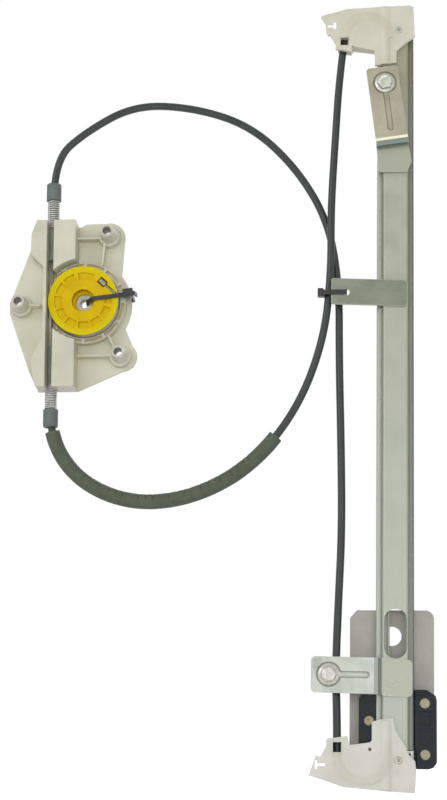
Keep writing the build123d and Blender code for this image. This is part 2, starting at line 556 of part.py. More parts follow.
NIPPLE = polar(DRUM_RADIUS - 6.0, 45.2)
SLIT_END = polar(DRUM_RADIUS + 0.4, 7.2)
slit_turn = math.degrees(math.atan2(SLIT_END[1] - NIPPLE[1], SLIT_END[0] - NIPPLE[0]))
slit_length = math.dist(SLIT_END, NIPPLE)
FLANGE_SHEET = 1.2
POCKET_DEPTH = 1.6
DRUM_POCKETS = [(85, 17)] + [(123 + 30 * step, 12) for step in range(8)] + [(2, 9)]
with BuildPart() as cable_drum:
    disc(drum_face, (0, 0), DRUM_FLOOR, DRUM_BACK, DRUM_FRONT)
    disc(drum_face, (0, 0), DRUM_RADIUS, DRUM_FRONT + FLANGE_SHEET, DRUM_FRONT)
    disc(drum_face, (0, 0), DRUM_RADIUS, DRUM_BACK, DRUM_BACK - FLANGE_SHEET)
    for middle, half in DRUM_POCKETS:
        ring_slot(drum_face, DRUM_RADIUS - 9.5, DRUM_RADIUS - 4.5, middle, half,
                  DRUM_FRONT + POCKET_DEPTH, DRUM_FRONT)
    teeth = []
    for step in range(48):
        reach = 8.5 if step % 2 else 7.7
        teeth.append((reach * math.cos(step * math.pi / 24), reach * math.sin(step * math.pi / 24)))
    slab(drum_face, teeth, DRUM_FRONT + 6.0, DRUM_FRONT, Mode.SUBTRACT)
    disc(drum_face, (0, 0), HUB_RADIUS + HUB_CLEARANCE, DRUM_BACK, DRUM_FRONT, Mode.SUBTRACT)
    with BuildSketch(drum_face(DRUM_BACK)) as relief:
        Circle(DRUM_FLOOR - 2.6)
        Circle(HUB_RADIUS + 3.9, mode=Mode.SUBTRACT)
    extrude(relief.sketch, amount=5.0, mode=Mode.SUBTRACT)
    with BuildSketch(drum_face(DRUM_FRONT + 4.6)) as seat:
        with Locations(Location((*NIPPLE, 0), (0, 0, slit_turn))):
            Rectangle(6.4, 5.0)
    extrude(seat.sketch, amount=5.0, mode=Mode.SUBTRACT)
    with BuildSketch(drum_face(FIRST_GROOVE + 1.0)) as slit:
        with Locations(Location((*NIPPLE, 0), (0, 0, slit_turn))):
            with Locations((slit_length / 2, 0)):
                Rectangle(slit_length, 1.9)
    extrude(slit.sketch, amount=4.0, mode=Mode.SUBTRACT)

# cable laid in the drum's grooves, with its end led through the slit
WINDING_TURN = DRUM_FLOOR + CABLE_RADIUS
with BuildPart() as drum_winding:
    for groove in (0, 1, 2, 5):
        with BuildSketch(Plane(origin=(DRUM_X, 0, DRUM_Z), x_dir=(1, 0, 0),
                               z_dir=(0, 0, 1))) as section:
            with Locations((WINDING_TURN, FIRST_GROOVE + groove * GROOVE_PITCH)):
                RegularPolygon(CABLE_RADIUS, 6)
        revolve(section.sketch, axis=Axis((DRUM_X, 0, DRUM_Z), (0, 1, 0)))
    lead = Plane(origin=(DRUM_X + NIPPLE[0], FIRST_GROOVE, DRUM_Z + NIPPLE[1]),
                 z_dir=(SLIT_END[0] - NIPPLE[0], 0, SLIT_END[1] - NIPPLE[1]))
    rod(lead.offset(2.6), CABLE_RADIUS, slit_length - 6.4)

with BuildPart() as drum_cable_end:
    rod(lead.offset(-2.6), 2.2, 5.2)

# ---- adjusters, springs and caps ----------------------------------------------
STEM_REACH = 31.0
SOCKET = 1.2               # depth of solid cap below the conduit's end
adjusters = [("upper", UPPER_GROOVE, UPPER_CAP, 1), ("lower", LOWER_GROOVE, LOWER_CAP, -1)]


def along(depth, height, direction):
    """Plane square to the channel whose normal points away from the drum."""
    plane = channel(depth, height)
    if direction < 0:
        plane = Plane(origin=plane.origin, x_dir=plane.x_dir, z_dir=plane.z_dir * -1)
    return plane


def stem(depth, seat, direction):
    """Adjuster stem that slides in the housing's bore."""
    start = along(depth, direction * STEM_REACH, direction)
    rod(start, STEM_RADIUS, abs(seat) - STEM_REACH)
    rod(start, STEM_BORE, abs(seat) - STEM_REACH, Mode.SUBTRACT)


def cap(depth, seat, direction):
    """Conduit cap: spring seat below, socket for the conduit above."""
    start = along(depth, seat, direction)
    rod(start, CAP_RADIUS, CAP_LENGTH - CAP_BEVEL)
    with BuildSketch(start.offset(CAP_LENGTH - CAP_BEVEL)) as end:
        Circle(CAP_RADIUS)
    extrude(end.sketch, amount=CAP_BEVEL, taper=40)
    rod(start, STEM_BORE, CAP_LENGTH, Mode.SUBTRACT)
    rod(start.offset(SOCKET), CONDUIT_RADIUS + 0.3, CAP_LENGTH, Mode.SUBTRACT)


def coil(depth, foot, seat, direction):
    """Compression spring between its seat in the housing and the cap."""
    start = along(depth, foot + direction * SPRING_WIRE, direction)
    length = abs(seat - foot) - 2 * SPRING_WIRE
    with BuildLine() as wire:
        Helix(length / 7, length, SPRING_TURN, center=start.origin, direction=start.z_dir)
    with BuildSketch(Plane(origin=wire.line @ 0, z_dir=wire.line % 0)) as section:
        RegularPolygon(SPRING_WIRE, 4)
    sweep(section.sketch, path=wire.line, is_frenet=True)


with BuildPart() as upper_stem:
    stem(UPPER_GROOVE, UPPER_CAP, 1)
with BuildPart() as lower_stem:
    stem(LOWER_GROOVE, LOWER_CAP, -1)
with BuildPart() as upper_cap:
    cap(UPPER_GROOVE, UPPER_CAP, 1)
with BuildPart() as lower_cap:
    cap(LOWER_GROOVE, LOWER_CAP, -1)
with BuildPart() as upper_spring:
    coil(UPPER_GROOVE, HOUSING_TOP - SPRING_SEAT, UPPER_CAP, 1)
with BuildPart() as lower_spring:
    coil(LOWER_GROOVE, HOUSING_FOOT + SPRING_SEAT, LOWER_CAP, -1)

# ---- conduits -----------------------------------------------------------------
def on_channel(depth, height):
    """Point on the housing's cable channel."""
    point = channel(depth, height).origin
    return (point.X, point.Y, point.Z)


lower_route = [
    on_channel(UPPER_GROOVE, UPPER_CAP + SOCKET + 0.4), on_channel(UPPER_GROOVE, 107.0),
    (-222.6, 12.0, -19.0), (-187.0, 12.4, 2.0), (-144.0, 14.2, 0.5), (-103.0, 16.2, -12.5),
    (-70.0, 17.6, -43.0), (-46.0, 18.2, -83.0), (-37.6, 18.0, -131.0), (-37.3, 16.5, -186.0),
    (-35.6, 15.6, -246.0), (-34.6, 15.4, -306.0), (-36.8, 15.6, -358.0),
    (-38.4, 15.2, -404.0), (-37.2, 12.1, -432.0), FOOT_END,
]
upper_route = [
    TOP_END, TOP_LEAD, (-41.0, 12.1, -22.0), (-43.9, 12.0, -76.0),
    (-43.4, 12.1, -122.0), (-48.0, 12.0, -172.0), (-66.0, 12.0, -222.0),
    (-97.0, 12.2, -262.0), (-137.0, 12.4, -285.0), (-180.0, 12.8, -290.5),
    (-218.5, 13.3, -275.0), on_channel(LOWER_GROOVE, -97.8),
    on_channel(LOWER_GROOVE, LOWER_CAP - SOCKET - 0.4),
]


def conduit(name, route):
    """Bowden conduit, a hollow tube along its route."""
    radii = rounded_radii(route)
    with BuildLine() as path:
        FilletPolyline(*route, radius=radii)
    ring_along(path.line, CONDUIT_RADIUS, CONDUIT_BORE)
    section = math.pi * (CONDUIT_RADIUS ** 2 - CONDUIT_BORE ** 2)
    length = sum(edge.length for edge in path.edges())
    print(name, "length", round(length, 1), "radii", [round(r, 1) for r in radii])
    print(name, "section times length", round(section * length, 1))


with BuildPart() as lower_conduit:
    conduit("lower_conduit", lower_route)
print("lower_conduit volume", round(lower_conduit.part.volume, 1))
with BuildPart() as upper_conduit:
    conduit("upper_conduit", upper_route)
print("upper_conduit volume", round(upper_conduit.part.volume, 1))

# foam sleeve over the upper conduit where it runs below the drum
sleeve_route = upper_route[7:]
sleeve_radii = rounded_radii(upper_route)[6:]
with BuildPart() as foam_sleeve:
    start = (Vector(*upper_route[6]) + Vector(*upper_route[7])) / 2
    covered = [(start.X, start.Y, start.Z), *sleeve_route]
    with BuildLine() as path:
        FilletPolyline(*covered, radius=sleeve_radii)
    ring_along(path.line, SLEEVE_RADIUS, SLEEVE_BORE)
    rod(along(LOWER_GROOVE, LOWER_CAP - CAP_LENGTH - 2.8, 1), 12.0, 30.0, Mode.SUBTRACT)

# ---- cables -------------------------------------------------------------------
SPLICE = -433.0            # height where the two cables meet the carrier at rest
with BuildPart() as upper_rail_cable:
    with BuildLine(facing(CABLE_DEPTH)) as path:
        CenterArc(TOP_ARC, TOP_ARC_RADIUS, 172, -172)
        Line((CABLE_X, TOP_ARC[1]), (CABLE_X, SPLICE))
    ring_along(path.line, CABLE_RADIUS, 0)

with BuildPart() as lower_rail_cable:
    with BuildLine(facing(CABLE_DEPTH)) as path:
        Line((FOOT_ARC[0] - FOOT_ARC_RADIUS, FOOT_END[2] - 0.2),
             (FOOT_ARC[0] - FOOT_ARC_RADIUS, FOOT_ARC[1]))
        CenterArc(FOOT_ARC, FOOT_ARC_RADIUS, 180, 180)
        Line((CABLE_X, FOOT_ARC[1]), (CABLE_X, SPLICE))
    ring_along(path.line, CABLE_RADIUS, 0)

with BuildPart() as upper_drum_cable:
    rod(channel(UPPER_GROOVE, 0.0), CABLE_RADIUS, UPPER_CAP + SOCKET)
with BuildPart() as lower_drum_cable:
    rod(along(LOWER_GROOVE, 0.0, -1), CABLE_RADIUS, SOCKET - LOWER_CAP)

# ---- ties ---------------------------------------------------------------------
TIE_SHEET = 1.1
TIE_WIDTH = 3.4
with BuildPart() as middle_tie:
    with BuildSketch(Plane.XY.offset(-139.2 - TIE_WIDTH / 2)) as band:
        with BuildLine():
            Polyline((-32.1, 5.4), (-49.2, 5.4), (-49.2, 16.0), (-40.0, 22.4), (-32.1, 22.4),
                     close=True)
        make_face()
        fillet(band.vertices(), 1.4)
        offset(amount=-TIE_SHEET, mode=Mode.SUBTRACT)
    extrude(band.sketch, amount=TIE_WIDTH)
    block(facing, -52.8, -48.6, -142.1, -136.3, 11.6, 6.2, corner=0.8)

with BuildPart() as drum_tie:
    lean = math.radians(8.0)
    side = Plane(origin=(DRUM_X, 0, DRUM_Z), x_dir=(math.cos(lean), 0, math.sin(lean)),
                 z_dir=(-math.sin(lean), 0, math.cos(lean)))
    with BuildSketch(side.offset(-1.5)) as band:
        with BuildLine():
            Polyline((1.1, 12.0), (6.8, 2.3), (35.4, 2.3), (35.4, 22.6), (1.1, 22.6),
                     close=True)
        make_face()
        fillet(band.vertices(), 1.4)
        offset(amount=-TIE_SHEET, mode=Mode.SUBTRACT)
    extrude(band.sketch, amount=3.0)
    with BuildSketch(side.offset(-3.0)) as head:
        with Locations((32.6, 0.4)):
            Rectangle(7.2, 4.2)
        fillet(head.vertices(), 0.8)
    extrude(head.sketch, amount=6.0)
    with BuildSketch(side.offset(-1.5)) as tail:
        with BuildLine():
            Polyline((35.8, 1.5), (37.2, 1.9), (38.4, 8.6), (37.3, 8.8), close=True)
        make_face()
    extrude(tail.sketch, amount=3.0)

# ---- carrier ------------------------------------------------------------------
carrier_rivet_seats = [((22.0, -423.8), 12.0), ((22.2, -457.9), 12.0), ((-15.4, -436.0), 14.0)]
RAIL_LEFT = RAIL_X - FLANGE_HALF
RAIL_RIGHT = RAIL_X + FLANGE_HALF
with BuildPart() as carrier_plate:
    slab(facing, [(-28.6, -457.0), (-28.6, -366.2), (-24.0, -360.8), (29.0, -360.3),
                  (28.9, -464.4), (17.4, -464.4), (17.4, -457.0)], PLATE_BACK, PLATE_FRONT)
    rounded = [e for e in carrier_plate.edges().filter_by(Axis.Y) if e.center().X > 25
               and e.center().Z > -400]
    fillet(rounded, 6.0)
    disc(facing, GLASS_HOLE, GLASS_HOLE_RADIUS, PLATE_BACK + 1, PLATE_FRONT - 1, Mode.SUBTRACT)
    for centre, seat in carrier_rivet_seats:
        disc(facing, centre, RIVET_RADIUS, PLATE_BACK + 1, PLATE_FRONT - 1, Mode.SUBTRACT)

STEM_LEFT = RAIL_X - TRACK_REACH + RUNNING_GAP
STEM_RIGHT = RAIL_X + 1.5
TRACK_FACE = FLANGE_BACK + RUNNING_GAP
SLIDER_TOP = -418.9
SLIDER_FOOT = -451.2
wing = [
    (23.1, -414.6), (29.2, -418.6), (30.0, -421.4), (30.0, -463.0), (27.6, -466.4),
    (24.4, -467.5), (16.6, -467.5), (16.6, -455.0),
]
with BuildPart() as slider:
    slab(facing, [(-22.4, SLIDER_FOOT), (-22.4, -420.9), (-20.4, SLIDER_TOP),
                  (14.6, SLIDER_TOP), (14.6, -414.7), *wing[:-2], (12.0, -467.5),
                  (9.0, -463.5), (9.0, SLIDER_FOOT)], PLATE_FRONT, SLIDER_FRONT)
    slab(facing, [(-22.4, SLIDER_FOOT), (-22.4, -420.9), (-20.4, SLIDER_TOP),
                  (RAIL_LEFT - RUNNING_GAP, SLIDER_TOP),
                  (RAIL_LEFT - RUNNING_GAP, SLIDER_FOOT)], SLIDER_FRONT, 14.0)
    slab(facing, [(RAIL_RIGHT + RUNNING_GAP, -454.0), (RAIL_RIGHT + RUNNING_GAP, -414.7), *wing],
         SLIDER_FRONT, 12.0)
    # grip recess between the rivets of the right wing
    block(facing, 16.3, 26.0, -438.8, -428.9, 15.2, 11.0, Mode.SUBTRACT)
    block(facing, 17.4, 27.4, -452.6, -440.2, 14.2, 11.0, Mode.SUBTRACT)
    # jaw inside the rail's right lip
    block(facing, RAIL_X + WEB_HALF + RUNNING_GAP, RAIL_RIGHT - SHEET - RUNNING_GAP,
          SLIDER_FOOT + 3, SLIDER_TOP, SLIDER_FRONT, TRACK_FACE)
    # stem through the track's mouth, and the tongue that runs in the track
    block(facing, STEM_LEFT, STEM_RIGHT, -448.0, SLIDER_TOP - 1, SLIDER_FRONT, TRACK_FACE)
    block(facing, RAIL_LEFT + SHEET + RUNNING_GAP, STEM_RIGHT, -448.0, SLIDER_TOP - 1,
          TRACK_BACK - RUNNING_GAP, TRACK_FACE)
    # cable holder in the rail's hollow
    block(facing, RAIL_X - WEB_HALF + SHEET + RUNNING_GAP, STEM_RIGHT, -446.0, SLIDER_TOP - 1,
          TRACK_FACE, WEB_BACK + RUNNING_GAP)
    cable_line = Plane(origin=(CABLE_X, CABLE_DEPTH, -450.0), z_dir=(0, 0, 1))
    rod(cable_line, CABLE_RADIUS + 0.35, 40.0, Mode.SUBTRACT)
    for height in (8.0, 21.0):
        rod(cable_line.offset(height), 2.05, 5.2, Mode.SUBTRACT)
    for centre, seat in carrier_rivet_seats:
        disc(facing, centre, RIVET_RADIUS, PLATE_FRONT + 1, seat - 1, Mode.SUBTRACT)

with BuildPart() as carrier_rivets:
    for centre, seat in carrier_rivet_seats:
        disc(facing, centre, RIVET_RADIUS, PLATE_BACK, seat)
        disc(facing, centre, 3.5, seat, seat - 1.2, top_radius=2.4)
        disc(facing, centre, 3.0, PLATE_BACK + 1.0, PLATE_BACK)

with BuildPart() as carrier_cable_ends:
    for height in (8.0, 21.0):
        with BuildSketch(cable_line.offset(height + 0.1)) as section:
            Circle(2.0)
            Circle(CABLE_RADIUS + 0.35, mode=Mode.SUBTRACT)
        extrude(section.sketch, amount=5.0)

# ---- files --------------------------------------------------------------------
pieces = {
    "guide_rail": guide_rail, "upper_bracket": upper_bracket,
    "middle_bracket": middle_bracket, "lower_bracket": lower_bracket,
    "mounting_bolts": mounting_bolts, "weld_nuts": weld_nuts,
    "top_cable_guide": top_cable_guide, "bottom_cable_guide": bottom_cable_guide,
    "guide_rivets": guide_rivets, "drum_housing": drum_housing,
    "motor_bushings": motor_bushings, "cable_drum": cable_drum,
    "drum_winding": drum_winding, "drum_cable_end": drum_cable_end,
    "upper_stem": upper_stem, "lower_stem": lower_stem,
    "upper_cap": upper_cap, "lower_cap": lower_cap,
    "upper_spring": upper_spring, "lower_spring": lower_spring,
    "lower_conduit": lower_conduit, "upper_conduit": upper_conduit,
    "foam_sleeve": foam_sleeve, "upper_rail_cable": upper_rail_cable,
    "lower_rail_cable": lower_rail_cable, "upper_drum_cable": upper_drum_cable,
    "lower_drum_cable": lower_drum_cable, "middle_tie": middle_tie,
    "drum_tie": drum_tie, "carrier_plate": carrier_plate, "slider": slider,
    "carrier_rivets": carrier_rivets, "carrier_cable_ends": carrier_cable_ends,
}
for name, piece in pieces.items():
    piece.part.label = name
    export_step(piece.part, "parts/" + name + ".step")
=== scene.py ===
import math

import bmesh
import bpy
from mathutils import Matrix, Vector, noise


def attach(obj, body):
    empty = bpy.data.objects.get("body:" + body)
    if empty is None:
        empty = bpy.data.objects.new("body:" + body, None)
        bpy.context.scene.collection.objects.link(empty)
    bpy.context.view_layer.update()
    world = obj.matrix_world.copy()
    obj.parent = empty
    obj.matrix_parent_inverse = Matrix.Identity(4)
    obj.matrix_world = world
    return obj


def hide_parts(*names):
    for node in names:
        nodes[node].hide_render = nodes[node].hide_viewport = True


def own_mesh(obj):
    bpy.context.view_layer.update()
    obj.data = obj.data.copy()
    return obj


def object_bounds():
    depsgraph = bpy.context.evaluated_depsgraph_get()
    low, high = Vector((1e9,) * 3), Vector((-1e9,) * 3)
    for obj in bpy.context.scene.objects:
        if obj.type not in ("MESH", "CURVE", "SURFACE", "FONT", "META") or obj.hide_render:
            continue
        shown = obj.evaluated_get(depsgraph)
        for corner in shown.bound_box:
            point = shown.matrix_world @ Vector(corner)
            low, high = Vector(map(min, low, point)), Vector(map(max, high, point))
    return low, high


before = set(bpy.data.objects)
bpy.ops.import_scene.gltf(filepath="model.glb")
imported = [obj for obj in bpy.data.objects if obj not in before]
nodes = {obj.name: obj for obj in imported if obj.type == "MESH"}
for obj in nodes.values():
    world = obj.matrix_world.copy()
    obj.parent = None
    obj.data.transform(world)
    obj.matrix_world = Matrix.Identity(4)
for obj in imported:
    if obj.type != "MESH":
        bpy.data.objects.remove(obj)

cad_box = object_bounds()


def colour(red, green, blue):
    """Linear colour of a paint-chart value written from 0 to 255."""
    linear = []
    for part in (red, green, blue):
        level = part / 255
        linear.append(level / 12.92 if level <= 0.04045 else ((level + 0.055) / 1.055) ** 2.4)
    return (*linear, 1.0)


def new_group(name, inputs, outputs):
    """Empty shader group with named sockets. Returns its tree, inlet and outlet."""
    tree = bpy.data.node_groups.new(name, "ShaderNodeTree")
    for label, kind, value in inputs:
        socket = tree.interface.new_socket(label, in_out="INPUT", socket_type=kind)
        socket.default_value = value
    for label, kind in outputs:
        tree.interface.new_socket(label, in_out="OUTPUT", socket_type=kind)
    return tree, tree.nodes.new("NodeGroupInput"), tree.nodes.new("NodeGroupOutput")


def remap(tree, value, low, high, new_low=0.0, new_high=1.0):
    """Map Range node from low..high to new_low..new_high. Returns its result."""
    node = tree.nodes.new("ShaderNodeMapRange")
    tree.links.new(value, node.inputs["Value"])
    node.inputs["From Min"].default_value = low
    node.inputs["From Max"].default_value = high
    node.inputs["To Min"].default_value = new_low
    node.inputs["To Max"].default_value = new_high
    return node.outputs["Result"]


def calculate(tree, operation, first, second):
    """Math node on a socket and a socket or number. Returns its result."""
    node = tree.nodes.new("ShaderNodeMath")
    node.operation = operation
    tree.links.new(first, node.inputs[0])
    if isinstance(second, (int, float)):
        node.inputs[1].default_value = second
    else:
        tree.links.new(second, node.inputs[1])
    return node.outputs[0]


def band(tree, value, low, high):
    """1 where a value lies between two others, with soft borders."""
    soft = 0.0003
    rise = remap(tree, value, low - soft, low + soft)
    fall = remap(tree, value, high - soft, high + soft, 1.0, 0.0)
    return calculate(tree, "MULTIPLY", rise, fall)


def build_clouds():
    """Soft uneven patches over the piece, drawn out along an axis by Stretch."""
    tree, inlet, outlet = new_group(
        "uneven_clouds",
        [("Scale", "NodeSocketFloat", 60.0), ("Stretch", "NodeSocketVector", (1, 1, 1)),
         ("Detail", "NodeSocketFloat", 4.0)],
        [("Value", "NodeSocketFloat")],
    )
    place = tree.nodes.new("ShaderNodeTexCoord")
    stretch = tree.nodes.new("ShaderNodeVectorMath")
    stretch.operation = "MULTIPLY"
    tree.links.new(place.outputs["Object"], stretch.inputs[0])
    tree.links.new(inlet.outputs["Stretch"], stretch.inputs[1])
    cloud = tree.nodes.new("ShaderNodeTexNoise")
    tree.links.new(stretch.outputs[0], cloud.inputs["Vector"])
    tree.links.new(inlet.outputs["Scale"], cloud.inputs["Scale"])
    tree.links.new(inlet.outputs["Detail"], cloud.inputs["Detail"])
    tree.links.new(remap(tree, cloud.outputs["Fac"], 0.3, 0.7), outlet.inputs["Value"])
    return tree


def build_edges():
    """Rounded look of a real edge, and a mask of where the edges are."""
    tree, inlet, outlet = new_group(
        "worked_edges",
        [("Radius", "NodeSocketFloat", 0.0004)],
        [("Normal", "NodeSocketVector"), ("Edge", "NodeSocketFloat")],
    )
    bevel = tree.nodes.new("ShaderNodeBevel")
    bevel.samples = 4
    tree.links.new(inlet.outputs["Radius"], bevel.inputs["Radius"])
    geometry = tree.nodes.new("ShaderNodeNewGeometry")
    turn = tree.nodes.new("ShaderNodeVectorMath")
    turn.operation = "DOT_PRODUCT"
    tree.links.new(bevel.outputs["Normal"], turn.inputs[0])
    tree.links.new(geometry.outputs["Normal"], turn.inputs[1])
    tree.links.new(bevel.outputs["Normal"], outlet.inputs["Normal"])
    tree.links.new(remap(tree, turn.outputs["Value"], 0.99, 0.8), outlet.inputs["Edge"])
    return tree


def build_recess_shade():
    """Mask of the narrow recesses, where the finishes paint shade into their colour."""
    tree, inlet, outlet = new_group(
        "recess_painted_shade",
        [("Depth", "NodeSocketFloat", 0.006), ("Open", "NodeSocketFloat", 0.75),
         ("Shut", "NodeSocketFloat", 0.2)],
        [("Value", "NodeSocketFloat")],
    )
    recess_shade = tree.nodes.new("ShaderNodeAmbientOcclusion")
    recess_shade.samples = 6
    recess_shade.only_local = True
    tree.links.new(inlet.outputs["Depth"], recess_shade.inputs["Distance"])
    mask = remap(tree, recess_shade.outputs["AO"], 0.75, 0.2)
    tree.links.new(inlet.outputs["Open"], mask.node.inputs["From Min"])
    tree.links.new(inlet.outputs["Shut"], mask.node.inputs["From Max"])
    tree.links.new(mask, outlet.inputs["Value"])
    return tree


CLOUDS = build_clouds()
EDGES = build_edges()
# The recess mask is how the finishes paint shade into recesses, creases and gaps.
RECESS_SHADE = build_recess_shade()


class Finish:
    """A material and the few links that every finish of this object needs."""

    def __init__(self, name, metallic=0.0, coat=0.0, specular=0.5):
        self.material = bpy.data.materials.new(name)
        self.material.use_nodes = True
        self.tree = self.material.node_tree
        self.shader = self.tree.nodes["Principled BSDF"]
        self.shader.inputs["Metallic"].default_value = metallic
        self.shader.inputs["Coat Weight"].default_value = coat
        self.shader.inputs["Specular IOR Level"].default_value = specular

    def group(self, tree, **values):
        """Places a shared group with its own values."""
        node = self.tree.nodes.new("ShaderNodeGroup")
        node.node_tree = tree
        for label, value in values.items():
            node.inputs[label].default_value = value
        return node.outputs

    def place(self):
        """Object coordinates of the surface, as X, Y and Z."""
        spot = self.tree.nodes.new("ShaderNodeTexCoord")
        apart = self.tree.nodes.new("ShaderNodeSeparateXYZ")
        self.tree.links.new(spot.outputs["Object"], apart.inputs[0])
        return apart.outputs

    def share(self, mask, most):
        """The mask, weakened so that it reaches only a share of 1."""
        return remap(self.tree, mask, 0, 1, 0.0, most)

    def mix(self, mask, first, second):
        """Colour between two, by a mask. Each is a colour or a socket."""
        node = self.tree.nodes.new("ShaderNodeMix")
        node.data_type = "RGBA"
        self.tree.links.new(mask, node.inputs["Factor"])
        # inputs 6 and 7 and output 2 are the node's colour sockets
        for socket, value in ((node.inputs[6], first), (node.inputs[7], second)):
            if isinstance(value, tuple):
                socket.default_value = value
            else:
                self.tree.links.new(value, socket)
        return node.outputs[2]

    def paint(self, result):
        """Sets the base colour."""
        self.tree.links.new(result, self.shader.inputs["Base Color"])

    def rough(self, mask, low, high):
        """Roughness between two levels, by a mask."""
        self.tree.links.new(remap(self.tree, mask, 0, 1, low, high),
                            self.shader.inputs["Roughness"])

    def relief(self, height, distance, normal=None, strength=0.5):
        """Fine relief, over the worked edges where their normal is given."""
        bump = self.tree.nodes.new("ShaderNodeBump")
        bump.inputs["Strength"].default_value = strength
        bump.inputs["Distance"].default_value = distance
        self.tree.links.new(height, bump.inputs["Height"])
        if normal is not None:
            self.tree.links.new(normal, bump.inputs["Normal"])
        self.tree.links.new(bump.outputs["Normal"], self.shader.inputs["Normal"])


def zinc(name, dark, light, edge, along=(1, 1, 0.04), metallic=0.45, bright=0.36,
         edge_radius=0.0005, bands=(), nicks=0.0):
    """Zinc-coated sheet: clouded tone, drawing marks, painted highlights on the edges and
    painted shade in the creases.
    Each band is a mask by place and the tint of the sheet there."""
    finish = Finish(name, metallic=metallic)
    clouds = finish.group(CLOUDS, Scale=70.0, Detail=5.0)["Value"]
    marks = finish.group(CLOUDS, Scale=900.0, Stretch=along, Detail=3.0)["Value"]
    flecks = finish.group(CLOUDS, Scale=620.0, Detail=2.0)["Value"]
    crease_shade = finish.group(RECESS_SHADE, Depth=0.0025, Open=0.96, Shut=0.66)["Value"]
    edges = finish.group(EDGES, Radius=edge_radius)
    tone = finish.mix(clouds, dark, light)
    tone = finish.mix(finish.share(marks, 0.4), tone, light)
    for mask, tint in bands:
        tone = finish.mix(mask(finish), tone, tint)
    tone = finish.mix(remap(finish.tree, flecks, 0.95, 1.0, 0.0, nicks), tone, edge)
    # painted shade in the creases
    tone = finish.mix(finish.share(crease_shade, 0.55), tone, colour(74, 76, 66))
    # painted highlight along the edges, in the edge colour
    finish.paint(finish.mix(edges["Edge"], tone, edge))
    finish.rough(clouds, bright, bright + 0.14)
    finish.relief(marks, 0.00004, edges["Normal"], 0.35)
    return finish.material


def coat(name, material, slot):
    """Gives a CAD node its finish."""
    piece = nodes[name]
    piece.data.materials.clear()
    piece.data.materials.append(material)


LIP_SHADE = (0.009, 0.0155)      # across the rail, from lit to painted shade
FOOT_LIGHT = (-0.10, -0.40)        # down the rail, from dull to painted light
TOP_OLIVE = (-0.012, 0.02)       # up the rail, from plain to darker olive


def shaded_right_lip(finish):
    """Painted shade darkens the sheet toward its right lip, where the web shades it from the
    light.
    """
    return remap(finish.tree, finish.place()["X"], *LIP_SHADE, 0.0, 0.8)


def lit_foot(finish):
    """Painted light makes the sheet lighter toward the foot."""
    return remap(finish.tree, finish.place()["Z"], *FOOT_LIGHT, 0.0, 0.6)


def olive_toward_top(finish):
    """The sheet turns darker and more olive toward the upper guide."""
    return remap(finish.tree, finish.place()["Z"], *TOP_OLIVE, 0.0, 0.55)


rail_zinc = zinc("rail_zinc", colour(158, 161, 145), colour(176, 178, 162),
                 colour(206, 210, 200), nicks=0.3,
                 # painted light toward the foot
                 bands=((lit_foot, colour(188, 194, 184)),
                        (olive_toward_top, colour(150, 148, 112)),
                        # painted shade toward the right lip
                        (shaded_right_lip, colour(58, 58, 42))))
coat("guide_rail", rail_zinc, "galvanised_sheet")

# ---- brackets ------------------------------------------------------------------------
# Three arms of thicker zinc-plated sheet are spot welded to the rail's web. The upper
# and lower ones carry the mounting bolts in dished keyhole beads.
BEND_LEAN = 0.145                 # rise of the upper arm's bend per metre to the right
BEND_FOOT = -0.0284               # heights over that lean, in metres
BEND_TOP = -0.0264
JOGGLE_FOOT = -0.0322
TAB_LEFT = -0.0066                # the lower arm's joggle ends and its tab begins here
TAB_BLEND = 0.0004
JOGGLE_LEFT = -0.0126
JOGGLE_REAR = (-0.0098, -0.0074)  # darker strip where the joggle turns away from light


def above_bend(finish):
    """Height over the upper arm's lower bend, which rises to the right."""
    place = finish.place()
    lean = calculate(finish.tree, "MULTIPLY", place["X"], -BEND_LEAN)
    return calculate(finish.tree, "ADD", place["Z"], lean)


def painted_bend_highlight(finish):
    """Painted highlight along the bend, where the stretched zinc catches the light."""
    return band(finish.tree, above_bend(finish), BEND_FOOT, BEND_TOP)


def painted_joggle_shade(finish):
    """Painted shade with a blue-grey cast stands in for the sloped joggle below the bend."""
    return band(finish.tree, above_bend(finish), JOGGLE_FOOT, BEND_FOOT)


def welded_tab(finish):
    """The tab on the rail is duller than the arm."""
    return remap(finish.tree, finish.place()["X"], TAB_LEFT - TAB_BLEND, TAB_LEFT)


def painted_joggle_step(finish):
    """Painted shade over the step between the lower arm and its tab."""
    return band(finish.tree, finish.place()["X"], JOGGLE_LEFT, TAB_LEFT)


def rear_of_joggle(finish):
    """The middle of that step, which faces away from the light."""
    return band(finish.tree, finish.place()["X"], *JOGGLE_REAR)


def upper_tab(finish):
    """The part of the upper bracket that lies on the rail, below the joggle."""
    return remap(finish.tree, above_bend(finish), JOGGLE_FOOT + TAB_BLEND, JOGGLE_FOOT)


upper_zinc = zinc("upper_bracket_zinc", colour(150, 147, 128), colour(184, 178, 156),
                  colour(224, 220, 204), along=(1, 1, 0.2),
                  bands=((upper_tab, colour(168, 171, 153)),
                         # painted shade of the sloped joggle
                         (painted_joggle_shade, colour(126, 142, 136)),
                         # painted highlight along the bend
                         (painted_bend_highlight, colour(246, 238, 214))))
lower_zinc = zinc("lower_bracket_zinc", colour(158, 163, 154), colour(202, 207, 198),
                  colour(236, 238, 234), along=(0.5, 1, 0.08), metallic=0.6, bright=0.26,
                  # painted shade over the joggle step, darker in its middle
                  bands=((painted_joggle_step, colour(168, 173, 166)),
                         (rear_of_joggle, colour(112, 118, 112)),
                         (welded_tab, colour(172, 175, 160))))
clip_zinc = zinc("clip_bracket_zinc", colour(116, 124, 105), colour(142, 149, 131),
                 colour(232, 232, 220), along=(0.2, 1, 1), edge_radius=0.0009)
coat("upper_bracket", upper_zinc, "bracket_zinc")
coat("lower_bracket", lower_zinc, "bracket_zinc")
coat("middle_bracket", clip_zinc, "bracket_zinc")

